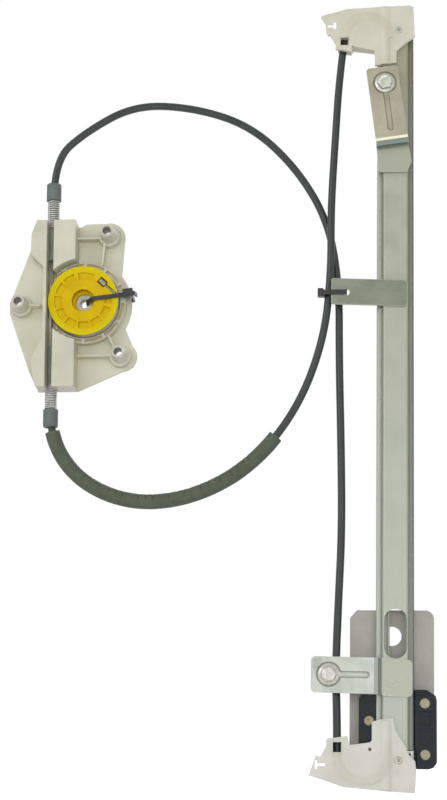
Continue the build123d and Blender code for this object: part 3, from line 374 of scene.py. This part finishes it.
# ---- mounting bolts ------------------------------------------------------------------
# Hexagon flange bolts, M6, cold headed with a domed top and zinc plated. Each sits in
# its bracket's dish and holds a weld nut behind the arm.
MM = 0.001
BOLT_SEATS = [(-6.0, 14.0, 1.3, 3.3), (-43.0, -405.6, 4.3, 6.3)]  # x, z, dish, back of arm
BOLT_PAST_ARM = 4.4               # length of the shank behind the arm
SHANK_RADIUS = 3.0
SHANK_CHAMFER = 0.7
SHANK_TIP = 2.4
HEX_RADIUS = 5.7
HEX_TURN = math.radians(20)
HEX_FOOT = 1.3                    # heights over the dish
HEX_HEIGHT = 3.0
HEX_BEVEL = 0.5
FLANGE = [(6.9, 0.0), (7.1, 0.25), (7.0, 0.6), (6.1, 1.05), (5.2, 1.5), (5.05, 1.9)]
CROWN = [(4.75, 4.1), (4.45, 4.75), (3.9, 4.95), (3.2, 4.7), (1.6, 4.55), (0.0, 4.5)]


def spun(bm, points, centre, steps=48):
    """Turns a profile of (radius, height) pairs about the Y axis through a centre.
    Height runs toward the cabin side."""
    x, y, z = centre
    verts = [bm.verts.new(((x + r) * MM, (y - h) * MM, z * MM)) for r, h in points]
    edges = [bm.edges.new(pair) for pair in zip(verts, verts[1:])]
    bmesh.ops.spin(bm, geom=verts + edges, cent=(x * MM, 0, z * MM), axis=(0, 1, 0),
                   angle=math.tau, steps=steps, use_merge=True)


def piece(name, bm, material, body, slot, smooth=30):
    """Finishes a mesh as a piece of the object that rides on a body."""
    bmesh.ops.remove_doubles(bm, verts=bm.verts, dist=0.000002)
    bmesh.ops.recalc_face_normals(bm, faces=bm.faces)
    mesh = bpy.data.meshes.new(name)
    bm.to_mesh(mesh)
    bm.free()
    mesh.materials.append(material)
    mesh.shade_smooth()
    mesh.set_sharp_from_angle(angle=math.radians(smooth))
    made = bpy.data.objects.new(name, mesh)
    bpy.context.scene.collection.objects.link(made)
    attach(made, body)
    return made


def plated(name, dark, light, low=0.22, metallic=0.8, depth=0.003):
    """Bright plated fastener with handling marks and painted shade in its recesses."""
    finish = Finish(name, metallic=metallic)
    clouds = finish.group(CLOUDS, Scale=300.0, Detail=3.0)["Value"]
    edges = finish.group(EDGES, Radius=0.0002)
    recess_shade = finish.group(RECESS_SHADE, Depth=depth, Open=0.92, Shut=0.4)["Value"]
    worn = remap(finish.tree, clouds, 0, 1, 0.6, 1.0)
    tone = finish.mix(worn, dark, light)
    # painted shade in the recesses
    finish.paint(finish.mix(finish.share(recess_shade, 0.9), tone, dark))
    finish.rough(clouds, low, low + 0.14)
    finish.relief(clouds, 0.00001, edges["Normal"], 0.2)
    return finish.material


bolt_zinc = plated("bolt_zinc", colour(104, 106, 98), colour(214, 213, 203), 0.24)
bm = bmesh.new()
for x, z, seat, arm_back in BOLT_SEATS:
    spun(bm, FLANGE + [(0.0, FLANGE[-1][1])], (x, seat, z))
    shank_back = seat - (arm_back + BOLT_PAST_ARM)
    spun(bm, [(0.0, 0.3), (SHANK_RADIUS, 0.3), (SHANK_RADIUS, shank_back + SHANK_CHAMFER),
              (SHANK_TIP, shank_back), (0.0, shank_back)], (x, seat, z), steps=32)
    spun(bm, CROWN, (x, seat, z))
    foot = Matrix.Translation((x * MM, (seat - HEX_FOOT) * MM, z * MM))
    turn = Matrix.Rotation(HEX_TURN, 4, "Y") @ Matrix.Rotation(math.pi / 2, 4, "X")
    hexagon = bmesh.ops.create_circle(bm, cap_ends=True, segments=6, radius=HEX_RADIUS * MM,
                                      matrix=foot @ turn)
    base = hexagon["verts"][0].link_faces[0]
    top = bmesh.ops.extrude_face_region(bm, geom=[base])["geom"]
    top_verts = [v for v in top if isinstance(v, bmesh.types.BMVert)]
    bmesh.ops.translate(bm, verts=top_verts, vec=(0, -HEX_HEIGHT * MM, 0))
    rim = [e for e in top if isinstance(e, bmesh.types.BMEdge)]
    bmesh.ops.bevel(bm, geom=rim, offset=HEX_BEVEL * MM, offset_type="OFFSET",
                    affect="EDGES", segments=3, profile=0.5, material=-1)
mounting_bolts = piece("mounting_bolts_detailed", bm, bolt_zinc, "rail_assembly",
                       "fastener_zinc")
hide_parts("mounting_bolts")
coat("weld_nuts", plated("nut_zinc", colour(150, 152, 142), colour(200, 200, 188), 0.34),
     "fastener_zinc")

# ---- cable guides --------------------------------------------------------------------
# Two natural acetal mouldings turn the cables into the rail at its ends. The plastic is
# milky and slightly see-through, so thick parts and ducts look darker and warmer; the ducts'
# shade is painted into the colour.


def build_duct():
    """Mask of the painted shade of the U-shaped duct that shows through the plastic. Side is 1
    where the duct turns over its centre and -1 where it turns under it."""
    tree, inlet, outlet = new_group(
        "duct_shadow",
        [("Centre", "NodeSocketVector", (0, 0, 0)), ("Radius", "NodeSocketFloat", 0.016),
         ("Side", "NodeSocketFloat", 1.0)],
        [("Value", "NodeSocketFloat")],
    )
    spot = tree.nodes.new("ShaderNodeTexCoord")
    offset = tree.nodes.new("ShaderNodeVectorMath")
    offset.operation = "SUBTRACT"
    tree.links.new(spot.outputs["Object"], offset.inputs[0])
    tree.links.new(inlet.outputs["Centre"], offset.inputs[1])
    apart = tree.nodes.new("ShaderNodeSeparateXYZ")
    tree.links.new(offset.outputs[0], apart.inputs[0])
    height = calculate(tree, "MULTIPLY", apart.outputs["Z"], inlet.outputs["Side"])
    over = calculate(tree, "MAXIMUM", height, 0.0)
    square = calculate(tree, "ADD", calculate(tree, "POWER", apart.outputs["X"], 2.0),
                       calculate(tree, "POWER", over, 2.0))
    away = calculate(tree, "SUBTRACT", calculate(tree, "POWER", square, 0.5),
                     inlet.outputs["Radius"])
    wall = remap(tree, calculate(tree, "ABSOLUTE", away, 0.0), 0.0042, 0.0026)
    leg = remap(tree, height, -0.012, -0.004)
    tree.links.new(calculate(tree, "MULTIPLY", wall, leg), outlet.inputs["Value"])
    return tree


DUCT = build_duct()


def acetal(name, dark, light, recess_shade_tint, depth=0.006, share=0.8, duct=None):
    """Natural acetal: milky, satin, with warm painted shade in its recesses and painted
    highlights on its edges. An emitted painted glow stands in for light that comes through the
    walls and keeps the deep recesses from going dark."""
    finish = Finish(name, specular=0.35)
    clouds = finish.group(CLOUDS, Scale=45.0, Detail=3.0)["Value"]
    grain = finish.group(CLOUDS, Scale=1800.0, Detail=2.0)["Value"]
    edges = finish.group(EDGES, Radius=0.0007)
    recess_shade = finish.group(RECESS_SHADE, Depth=depth)["Value"]
    tone = finish.mix(clouds, dark, light)
    if duct is not None:
        # painted shade of the duct seen through the plastic
        shown = finish.group(DUCT, **duct)["Value"]
        tone = finish.mix(finish.share(shown, 0.2), tone, colour(190, 182, 156))
    # warm painted shade in the recesses
    shade = finish.share(recess_shade, share)
    tone = finish.mix(shade, tone, recess_shade_tint)
    # painted highlight on the edges
    edge_highlight = finish.share(edges["Edge"], 0.35)
    finish.paint(finish.mix(edge_highlight, tone, colour(240, 239, 228)))
    finish.rough(clouds, 0.34, 0.5)
    finish.relief(grain, 0.00003, edges["Normal"], 0.25)
    # painted glow: emission in the deep recesses, though no lamp is there
    painted_glow = remap(finish.tree, recess_shade, 0.5, 1.0)
    shader = finish.shader
    finish.tree.links.new(finish.mix(painted_glow, (0, 0, 0, 1), colour(90, 82, 62)),
                          shader.inputs["Emission Color"])
    shader.inputs["Emission Strength"].default_value = 1.0
    shader.inputs["Subsurface Weight"].default_value = 0.5
    shader.inputs["Subsurface Radius"].default_value = (1.0, 0.9, 0.65)
    shader.inputs["Subsurface Scale"].default_value = 0.003
    return finish.material


# the third colour of each is the painted shade of its recesses
top_acetal = acetal("top_guide_acetal", colour(212, 210, 192), colour(224, 222, 206),
                    colour(168, 154, 122),
                    duct={"Centre": (-0.0187, 0, 0.0500), "Radius": 0.0162, "Side": 1.0})
foot_acetal = acetal("foot_guide_acetal", colour(217, 217, 207), colour(229, 229, 221),
                     colour(170, 158, 130),
                     duct={"Centre": (-0.01975, 0, -0.4590), "Radius": 0.01725, "Side": -1.0})
coat("top_cable_guide", top_acetal, "guide_plastic")
coat("bottom_cable_guide", foot_acetal, "guide_plastic")

# ---- guide rivets --------------------------------------------------------------------
# A tubular steel rivet fixes each guide to the rail's end tongue. Its head is a low
# dome with a dimple, and its tail is rolled over behind the web.
GUIDE_RIVETS = [(4.0, 55.6), (4.0, -461.8)]
GUIDE_FRONT = 5.0
rivet_steel = plated("rivet_steel", colour(120, 120, 108), colour(196, 196, 182), 0.28)
bm = bmesh.new()
for x, z in GUIDE_RIVETS:
    spun(bm, [(0.0, -5.6), (1.2, -5.6), (2.0, -5.6), (2.9, -5.5), (2.9, -4.5), (2.0, -4.5),
              (2.0, 0.0), (2.6, 0.0), (2.55, 0.4), (2.2, 0.8), (1.7, 0.95), (1.1, 0.8),
              (0.8, 0.3), (0.0, 0.2)], (x, GUIDE_FRONT, z), steps=36)
guide_rivets = piece("guide_rivets_detailed", bm, rivet_steel, "rail_assembly", "rivet_steel")
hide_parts("guide_rivets")

# ---- drum housing --------------------------------------------------------------------
# Moulded from the same acetal as the guides. A base with three screw towers carries the
# raised blocks, the drum's ring and the open cable channel.
housing_acetal = acetal("housing_acetal", colour(206, 205, 186), colour(219, 218, 200),
                        colour(176, 158, 124), depth=0.005, share=0.5)
coat("drum_housing", housing_acetal, "guide_plastic")
# painted shade darkens the bushings' bores
bushing_steel = plated("bushing_steel", colour(112, 104, 90), colour(206, 200, 184), 0.4,
                       metallic=0.4, depth=0.006)
coat("motor_bushings", bushing_steel, "bushing_steel")

# ---- cable drum ----------------------------------------------------------------------
# The drum is moulded in bright yellow acetal with a ring of core pockets, a toothed
# recess for the motor's coupling and grooves round its rim.
DRUM = Vector((-218.7, 0, -146.4))
RIM_GLOW = (0.0165, 0.0240)       # radii between which the yellow turns paler


def yellow_plastic():
    """Bright yellow acetal, paler toward the rim, with painted shade in the core pockets and
    painted highlights on the edges.
    """
    finish = Finish("drum_yellow", specular=0.2)
    clouds = finish.group(CLOUDS, Scale=90.0, Detail=3.0)["Value"]
    grain = finish.group(CLOUDS, Scale=1500.0, Detail=2.0)["Value"]
    edges = finish.group(EDGES, Radius=0.0004)
    recess_shade = finish.group(RECESS_SHADE, Depth=0.004)["Value"]
    tone = finish.mix(clouds, colour(210, 176, 0), colour(222, 188, 0))
    place = finish.place()
    across = calculate(finish.tree, "ADD", place["X"], -DRUM.x * MM)
    height = calculate(finish.tree, "ADD", place["Z"], -DRUM.z * MM)
    square = calculate(finish.tree, "ADD", calculate(finish.tree, "POWER", across, 2.0),
                       calculate(finish.tree, "POWER", height, 2.0))
    rim = remap(finish.tree, calculate(finish.tree, "POWER", square, 0.5), *RIM_GLOW)
    tone = finish.mix(rim, tone, colour(222, 200, 0))
    # painted shade in the core pockets
    tone = finish.mix(finish.share(recess_shade, 0.5), tone, colour(190, 150, 0))
    # painted highlight on the edges
    edge_highlight = finish.share(edges["Edge"], 0.3)
    finish.paint(finish.mix(edge_highlight, tone, colour(234, 212, 10)))
    finish.rough(clouds, 0.32, 0.46)
    finish.relief(grain, 0.00003, edges["Normal"], 0.25)
    return finish.material


coat("cable_drum", yellow_plastic(), "drum_plastic")

# ---- cables --------------------------------------------------------------------------
# Galvanised steel rope, 1.5 mm, laid of fine strands. It runs in the rail, through both
# guides and on the drum, and its end is cast into a zinc nipple.


def rope_steel(name, turn):
    """Stranded rope: slanting strands across the run, with painted highlights on them and
    painted shade between them.
    """
    finish = Finish(name, metallic=0.85)
    place = finish.tree.nodes.new("ShaderNodeTexCoord")
    lay = finish.tree.nodes.new("ShaderNodeMapping")
    lay.inputs["Rotation"].default_value = turn
    finish.tree.links.new(place.outputs["Object"], lay.inputs["Vector"])
    strands = finish.tree.nodes.new("ShaderNodeTexWave")
    strands.inputs["Scale"].default_value = 620.0
    strands.inputs["Distortion"].default_value = 0.4
    finish.tree.links.new(lay.outputs["Vector"], strands.inputs["Vector"])
    # painted highlight on the strands and painted shade between them
    finish.paint(finish.mix(strands.outputs["Fac"], colour(104, 102, 92),
                            colour(216, 214, 204)))
    finish.rough(strands.outputs["Fac"], 0.42, 0.28)
    finish.relief(strands.outputs["Fac"], 0.0001)
    return finish.material


upright_rope = rope_steel("upright_rope", (0, math.radians(35), 0))
drum_rope = rope_steel("drum_rope", (0, math.radians(20), math.radians(40)))
for name in ("upper_rail_cable", "lower_rail_cable", "upper_drum_cable", "lower_drum_cable"):
    coat(name, upright_rope, "cable_steel")
coat("drum_winding", drum_rope, "cable_steel")
coat("drum_cable_end", plated("nipple_zinc", colour(96, 86, 62), colour(166, 156, 128), 0.35),
     "cable_steel")
coat("carrier_cable_ends", plated("ferrule_zinc", colour(140, 138, 126), colour(200, 198, 186)),
     "cable_steel")

LAYER_TURN = 24.4                 # centre line of the rope's second layer, from the axle
LAYER_PITCH = 1.55
LAYER_START = 6.3                 # depth of its first turn
LAYER_TURNS = 4
STRANDS = 6
STRAND_RADIUS = 0.26
STRAND_AWAY = 1.8 * STRAND_RADIUS  # from the rope's centre line to a strand's
STRAND_LAY = 9.0                  # run of rope in which a strand goes once round it
TURN_STEPS = 120

strands = bpy.data.curves.new("strands", "CURVE")
strands.dimensions = "3D"
strands.bevel_depth = STRAND_RADIUS * MM
strands.bevel_resolution = 1
strands.use_fill_caps = True
for index in range(STRANDS):
    strand = strands.splines.new("POLY")
    strand.points.add(LAYER_TURNS * TURN_STEPS)
    for step, point in enumerate(strand.points):
        turn = math.tau * step / TURN_STEPS
        twist = math.tau * (turn * LAYER_TURN / STRAND_LAY + index / STRANDS)
        away = LAYER_TURN + STRAND_AWAY * math.cos(twist)
        depth = (LAYER_START + LAYER_PITCH * step / TURN_STEPS
                 + STRAND_AWAY * math.sin(twist))
        place = DRUM + Vector((away * math.cos(turn), depth, away * math.sin(turn)))
        point.co = (*(place * MM), 1.0)
strands_line = bpy.data.objects.new("strands", strands)
bpy.context.scene.collection.objects.link(strands_line)
bpy.context.view_layer.update()
strands_mesh = bpy.data.meshes.new_from_object(strands_line)
bm = bmesh.new()
bm.from_mesh(strands_mesh)
piece("drum_rope_layer", bm, drum_rope, "drum", "cable_steel", smooth=80)
bpy.data.objects.remove(strands_line)
bpy.data.meshes.remove(strands_mesh)

# ---- adjusters -----------------------------------------------------------------------
# Each conduit ends in a dark cap on a hollow stem that slides in the housing. A spring
# round the stem pushes the cap out and keeps the cables tight.


def moulded(name, dark, light, edge, low=0.35, relief=0.00003, specular=0.5,
            edge_radius=0.0004):
    """Plain moulded plastic with a fine grain, in a dark or mid tone, with painted shade in its
    inner corners and painted highlights on its edges.
    """
    finish = Finish(name, specular=specular)
    clouds = finish.group(CLOUDS, Scale=120.0, Detail=4.0)["Value"]
    grain = finish.group(CLOUDS, Scale=1600.0, Detail=2.0)["Value"]
    edges = finish.group(EDGES, Radius=edge_radius)
    corner = finish.group(RECESS_SHADE, Depth=0.002, Open=0.95, Shut=0.6)["Value"]
    tone = finish.mix(clouds, dark, light)
    # painted shade in the inner corners
    tone = finish.mix(finish.share(corner, 0.6), tone, colour(4, 4, 4))
    # painted highlight on the edges, in the edge colour
    finish.paint(finish.mix(finish.share(edges["Edge"], 0.6), tone, edge))
    finish.rough(clouds, low, low + 0.15)
    finish.relief(grain, relief, edges["Normal"], 0.3)
    return finish.material


stem_plastic = moulded("stem_plastic", colour(130, 134, 120), colour(150, 153, 139),
                       colour(168, 170, 158))
cap_plastic = moulded("cap_plastic", colour(88, 98, 94), colour(108, 118, 114),
                      colour(134, 144, 140), low=0.45)
for end in ("upper", "lower"):
    coat(end + "_stem", stem_plastic, "stem_plastic")
    coat(end + "_cap", cap_plastic, "cap_plastic")

TILT = math.radians(1.1)
RIGHT = Vector((math.cos(TILT), 0, math.sin(TILT)))
UP = Vector((-math.sin(TILT), 0, math.cos(TILT)))
CHANNEL = -23.2                   # from the drum's axle to the cable channel
UPPER_DEPTH = 11.7                # depths of the two cables in it
LOWER_DEPTH = 13.6
UPPER_SEAT = 54.4                 # heights of the springs' ends over the drum's axle
UPPER_CAP = 75.8
LOWER_SEAT = -59.4
LOWER_CAP = -76.9
WIRE = 0.5                        # radius of the springs' wire
COIL = 3.95                       # radius of their coils
COIL_TURNS = 13
COIL_STEPS = 28                   # in each turn


def on_channel(depth, height):
    """Point in millimetres on the housing's cable channel."""
    return DRUM + RIGHT * CHANNEL + UP * height + Vector((0, depth, 0))


def spring(end, depth, seat, cap, spring_finish):
    """Close-wound compression spring between its seat and the cap."""
    way = 1 if cap > seat else -1
    axis = UP * way
    start = on_channel(depth, seat + way * WIRE) * MM
    climb = (abs(cap - seat) - 2 * WIRE) * MM
    steps = COIL_TURNS * COIL_STEPS
    bm = bmesh.new()
    ring = bmesh.ops.create_circle(bm, segments=8, radius=WIRE * MM,
                                   matrix=Matrix.Translation(start + RIGHT * COIL * MM)
                                   @ Matrix.Rotation(math.pi / 2, 4, "X"))
    edges = list({edge for vert in ring["verts"] for edge in vert.link_edges})
    bmesh.ops.spin(bm, geom=ring["verts"] + edges, cent=start, axis=axis,
                   dvec=axis * (climb / steps), angle=math.tau * COIL_TURNS, steps=steps)
    bmesh.ops.holes_fill(bm, edges=[e for e in bm.edges if e.is_boundary], sides=8)
    wound = piece(end + "_spring_wound", bm, spring_finish, "rail_assembly", "spring_steel",
                  smooth=80)
    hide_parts(end + "_spring")
    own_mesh(wound)


# painted shade in the gaps between the coils
spring_steel = plated("spring_steel", colour(70, 70, 68), colour(226, 226, 222), 0.28,
                      metallic=0.6, depth=0.0012)
spring("upper", UPPER_DEPTH, UPPER_SEAT, UPPER_CAP, spring_steel)
spring("lower", LOWER_DEPTH, LOWER_SEAT, LOWER_CAP, spring_steel)

# ---- conduits ------------------------------------------------------------------------
# Steel-lined bowden conduits with a black-green extruded sheath. They bow from the
# adjusters' caps to the two guides, and the middle tie holds them where they pass.


def sheath():
    """Extruded sheath: dark green-black, satin, with a faint grain."""
    finish = Finish("conduit_sheath", coat=0.15)
    clouds = finish.group(CLOUDS, Scale=60.0, Detail=4.0)["Value"]
    grain = finish.group(CLOUDS, Scale=900.0, Detail=2.0)["Value"]
    finish.paint(finish.mix(clouds, colour(26, 33, 30), colour(40, 49, 45)))
    finish.rough(clouds, 0.3, 0.44)
    finish.relief(grain, 0.00004, None, 0.3)
    return finish.material


def route_curve(name, points, thickness, resolution=16):
    """Curve of one open spline along points in metres. A thickness of 0 gives a bare line."""
    data = bpy.data.curves.new(name, "CURVE")
    data.dimensions = "3D"
    data.resolution_u = resolution
    data.bevel_depth = thickness
    data.bevel_resolution = 5
    data.use_fill_caps = thickness > 0
    line = data.splines.new("NURBS")
    line.points.add(len(points) - 1)
    for point, place in zip(line.points, points):
        point.co = (*place, 1.0)
    line.order_u = 3
    line.use_endpoint_u = True
    made = bpy.data.objects.new(name, data)
    bpy.context.scene.collection.objects.link(made)
    return made


CONDUIT_RADIUS = 0.00275
# both routes run in metres, straight out of a cap or a guide
lower_route = [
    tuple(on_channel(UPPER_DEPTH, 77.4) * MM), tuple(on_channel(UPPER_DEPTH, 107.0) * MM),
    (-0.2226, 0.0120, -0.0190), (-0.1870, 0.0124, 0.0020), (-0.1440, 0.0142, 0.0005),
    (-0.1030, 0.0162, -0.0125), (-0.0700, 0.0176, -0.0430), (-0.0460, 0.0182, -0.0830),
    (-0.0376, 0.0180, -0.1310), (-0.0373, 0.0165, -0.1860), (-0.0356, 0.0156, -0.2460),
    (-0.0346, 0.0154, -0.3060), (-0.0368, 0.0156, -0.3580), (-0.0384, 0.0152, -0.4040),
    (-0.0372, 0.0121, -0.4320), (-0.0370, 0.0120, -0.4572),
]
upper_route = [
    (-0.0349, 0.0120, 0.0518), (-0.0386, 0.0120, 0.0215), (-0.0410, 0.0121, -0.0220),
    (-0.0439, 0.0120, -0.0760), (-0.0434, 0.0121, -0.1220), (-0.0480, 0.0120, -0.1720),
    (-0.0660, 0.0120, -0.2220), (-0.0970, 0.0122, -0.2620), (-0.1370, 0.0124, -0.2850),
    (-0.1800, 0.0128, -0.2905), (-0.2185, 0.0133, -0.2750),
    tuple(on_channel(LOWER_DEPTH, -97.8) * MM), tuple(on_channel(LOWER_DEPTH, -78.5) * MM),
]
conduit_finish = sheath()
for name, route, length in (("lower_conduit", lower_route, 0.649),
                            ("upper_conduit", upper_route, 0.512)):
    hose = route_curve(name + "_sheath", route, CONDUIT_RADIUS)
    hose.data.materials.append(conduit_finish)
    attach(hose, "rail_assembly")
    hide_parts(name)

# ---- foam sleeve ---------------------------------------------------------------------
# A soft grey-green foam tube is pushed over the upper conduit below the drum to stop
# rattle. It creases across on the inside of the bend.
SLEEVE_RADIUS = 5.25
SLEEVE_START = (-0.0815, 0.0121, -0.2420)
SLEEVE_END = on_channel(LOWER_DEPTH, -93.2) * MM
SLEEVE_BORE_SHARE = 0.56          # of the radius, at the cut ends
LINE_STEPS = 40                   # in each span of the centre line
FIRST_CREASE = 22                 # places of the creases, in steps along the sleeve
LAST_CREASE = 20                  # left free at the far end
CREASE_STEP = 23
CREASE_SPREAD = (0, 4, 9, 15)
CREASE_DEPTH = 0.22
CREASE_LIFT = 0.35                # how far the creases reach round from the inner side
CREASE_LEVEL = -0.3               # noise level over which a crease is pressed in
WAVE_HEIGHT = 0.1                 # of the foam's uneven surface


def foam():
    """Matt open foam, with painted shade in its creases and hollows."""
    finish = Finish("sleeve_foam", specular=0.25)
    clouds = finish.group(CLOUDS, Scale=110.0, Detail=5.0)["Value"]
    pores = finish.group(CLOUDS, Scale=2200.0, Detail=2.0)["Value"]
    recess_shade = finish.group(RECESS_SHADE, Depth=0.003)["Value"]
    tone = finish.mix(clouds, colour(82, 90, 75), colour(96, 104, 88))
    fold_shade = finish.tree.nodes.new("ShaderNodeAttribute")
    fold_shade.attribute_name = "fold_shade"
    # painted shade in the creases
    tone = finish.mix(finish.share(fold_shade.outputs["Fac"], 0.75), tone, colour(46, 53, 44))
    # painted shade in the hollows
    finish.paint(finish.mix(recess_shade, tone, colour(48, 54, 45)))
    finish.rough(clouds, 0.5, 0.66)
    finish.relief(pores, 0.00005, None, 0.3)
    return finish.material


guide_line = route_curve("sleeve_line", upper_route, 0.0, resolution=LINE_STEPS)
bpy.context.view_layer.update()
line_mesh = bpy.data.meshes.new_from_object(guide_line)
line = [v.co.copy() for v in line_mesh.vertices]
bpy.data.objects.remove(guide_line)
bpy.data.meshes.remove(line_mesh)
first = min(range(len(line)), key=lambda i: (line[i] - Vector(SLEEVE_START)).length)
last = min(range(len(line)), key=lambda i: (line[i] - SLEEVE_END).length)
covered = line[first:last + 1]
creases = {start + spread
           for start in range(FIRST_CREASE, len(covered) - LAST_CREASE, CREASE_STEP)
           for spread in CREASE_SPREAD}
bm = bmesh.new()
fold_shade_mark = bm.verts.layers.float.new("fold_shade")
rings = []
for index, point in enumerate(covered):
    ahead = covered[min(index + 1, len(covered) - 1)] - covered[max(index - 1, 0)]
    turn = ahead.to_track_quat("Z", "Y").to_matrix().to_4x4()
    ring = bmesh.ops.create_circle(bm, segments=28, radius=SLEEVE_RADIUS * MM,
                                   matrix=Matrix.Translation(point) @ turn)
    for vert in ring["verts"]:
        wave = noise.noise(Vector((index * 0.11, vert.co.z * 60, vert.co.y * 80)))
        inner = max(0.0, (vert.co.z - point.z) / (SLEEVE_RADIUS * MM) + CREASE_LIFT)
        pinch = noise.noise(Vector((index * 3.7, vert.co.y * 90, 0)))
        pressed = inner if index in creases and pinch > CREASE_LEVEL else 0.0
        # marks the creases, where shade is painted
        vert[fold_shade_mark] = min(1.0, pressed)
        swell = WAVE_HEIGHT * wave - CREASE_DEPTH * pressed
        vert.co += (vert.co - point).normalized() * swell * MM
    rings.append(list({edge for vert in ring["verts"] for edge in vert.link_edges}))
for ring, following in zip(rings, rings[1:]):
    bmesh.ops.bridge_loops(bm, edges=ring + following)
for ring in (rings[0], rings[-1]):
    rim = bmesh.ops.extrude_edge_only(bm, edges=ring)["geom"]
    rim_verts = [v for v in rim if isinstance(v, bmesh.types.BMVert)]
    middle = sum((v.co for v in rim_verts), Vector()) / len(rim_verts)
    bmesh.ops.scale(bm, verts=rim_verts, vec=(SLEEVE_BORE_SHARE,) * 3,
                    space=Matrix.Translation(-middle))
foam_sleeve = piece("foam_sleeve_creased", bm, foam(), "rail_assembly", "foam", smooth=60)
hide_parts("foam_sleeve")

# ---- ties ----------------------------------------------------------------------------
# Black nylon cable ties: one holds both conduits to the middle arm, the other keeps the
# drum from turning until the motor is fitted.
tie_nylon = moulded("tie_nylon", colour(34, 34, 34), colour(52, 52, 50), colour(84, 84, 80),
                    low=0.38)
coat("middle_tie", tie_nylon, "black_nylon")
coat("drum_tie", tie_nylon, "black_nylon")

# ---- carrier -------------------------------------------------------------------------
# The lifting plate is pressed from satin steel and riveted to a glossy blue-black nylon
# slider that runs in the rail.
plate_steel = zinc("plate_steel", colour(156, 154, 147), colour(176, 174, 167),
                   colour(200, 198, 192), along=(1, 1, 0.1), metallic=0.35, bright=0.42)
coat("carrier_plate", plate_steel, "carrier_steel")
slider_nylon = moulded("slider_nylon", colour(5, 12, 20), colour(10, 18, 28),
                       colour(70, 84, 104), low=0.14, relief=0.00001, specular=0.36,
                       edge_radius=0.0010)
coat("slider", slider_nylon, "slider_plastic")
CARRIER_RIVETS = [(22.0, -423.8, 12.0), (22.2, -457.9, 12.0), (-15.4, -436.0, 14.0)]
RIVET_BACK = 27.0                 # depth of the backs of the rolled tails
nickel = plated("rivet_nickel", colour(94, 90, 74), colour(164, 158, 134), 0.3)
bm = bmesh.new()
for x, z, seat in CARRIER_RIVETS:
    back = seat - RIVET_BACK
    spun(bm, [(0.0, back), (1.2, back), (2.2, back), (3.0, back + 0.3), (3.0, back + 1.0),
              (2.0, back + 1.0), (2.0, 0.0), (3.4, 0.0), (3.5, 0.25), (3.35, 0.7),
              (2.9, 1.05), (2.2, 1.2), (1.5, 1.1), (0.9, 0.75), (0.0, 0.6)],
         (x, seat, z), steps=40)
carrier_rivets = piece("carrier_rivets_detailed", bm, nickel, "carrier", "rivet_steel")
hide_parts("carrier_rivets")

# ---- floor, light and camera ---------------------------------------------------------
# A pale floor just under the foot, a white surround and large soft lamps.
FLOOR_GAP = 0.0005
FLOOR_Z = cad_box[0][2] - FLOOR_GAP
bm = bmesh.new()
bmesh.ops.create_grid(bm, x_segments=1, y_segments=1, size=6.0,
                      matrix=Matrix.Translation((0, 0, FLOOR_Z)))
floor_mesh = bpy.data.meshes.new("floor")
bm.to_mesh(floor_mesh)
bm.free()
floor = bpy.data.objects.new("floor", floor_mesh)
bpy.context.scene.collection.objects.link(floor)


def seen_by(tree):
    """1 for the rays of the camera, of gloss and of clear parts, and 0 for the rest."""
    path = tree.nodes.new("ShaderNodeLightPath")
    seen = calculate(tree, "MAXIMUM", path.outputs["Is Camera Ray"],
                     path.outputs["Is Glossy Ray"])
    return calculate(tree, "MAXIMUM", seen, path.outputs["Is Transmission Ray"])


floor_finish = Finish("floor_white")
floor_finish.shader.inputs["Base Color"].default_value = (0.8, 0.8, 0.8, 1.0)
floor_finish.shader.inputs["Roughness"].default_value = 0.8
floor_finish.tree.links.new(seen_by(floor_finish.tree),
                            floor_finish.shader.inputs["Emission Color"])
floor_finish.shader.inputs["Emission Strength"].default_value = 0.72
floor_mesh.materials.append(floor_finish.material)

world = bpy.data.worlds.new("studio")
bpy.context.scene.world = world
world.use_nodes = True
tree = world.node_tree
background = tree.nodes["Background"]
background.inputs["Color"].default_value = (1, 1, 1, 1)
tree.links.new(remap(tree, seen_by(tree), 0, 1, 0.38, 1.0), background.inputs["Strength"])


def lamp(name, place, target, size, power, hidden=False):
    """Square soft lamp that faces a target. A hidden one leaves no mirror image."""
    data = bpy.data.lights.new(name, "AREA")
    data.shape = "SQUARE"
    data.size = size
    data.energy = power
    made = bpy.data.objects.new(name, data)
    made.location = place
    made.rotation_euler = (Vector(target) - Vector(place)).to_track_quat("-Z", "Y").to_euler()
    made.visible_glossy = not hidden
    bpy.context.scene.collection.objects.link(made)


MIDDLE = (-0.12, 0.01, -0.22)     # the object's middle, which the lamps face
lamp("key", (-1.3, -1.4, 0.3), MIDDLE, 0.9, 5.5)
lamp("front", (-0.05, -1.75, -0.25), MIDDLE, 0.45, 9.5, hidden=True)
lamp("fill", (0.55, -1.5, -0.1), MIDDLE, 0.7, 1.6)
lamp("back", (0.2, 1.6, 0.8), MIDDLE, 1.2, 8.0)

CAMERA = Vector((-0.03737, -1.23246, -0.45562))
TARGET = Vector((-0.1179, 0.0080, -0.2168))
ROLL = math.radians(1.09)
SENSOR = 36.0
FOCAL_SHARE = 1809 / 800          # focal length over the frame's height
data = bpy.data.cameras.new("camera")
data.sensor_width = SENSOR
data.sensor_fit = "AUTO"
data.lens = FOCAL_SHARE * SENSOR
camera = bpy.data.objects.new("camera", data)
bpy.context.scene.collection.objects.link(camera)
forward = (TARGET - CAMERA).normalized()
right = forward.cross(Vector((0, 0, 1))).normalized()
up = right.cross(forward)
tilted_right = right * math.cos(ROLL) + up * math.sin(ROLL)
tilted_up = up * math.cos(ROLL) - right * math.sin(ROLL)
turn = Matrix((tilted_right, tilted_up, -forward)).transposed().to_4x4()
camera.matrix_world = Matrix.Translation(CAMERA) @ turn
bpy.context.scene.camera = camera
bpy.context.scene.view_settings.view_transform = "Standard"
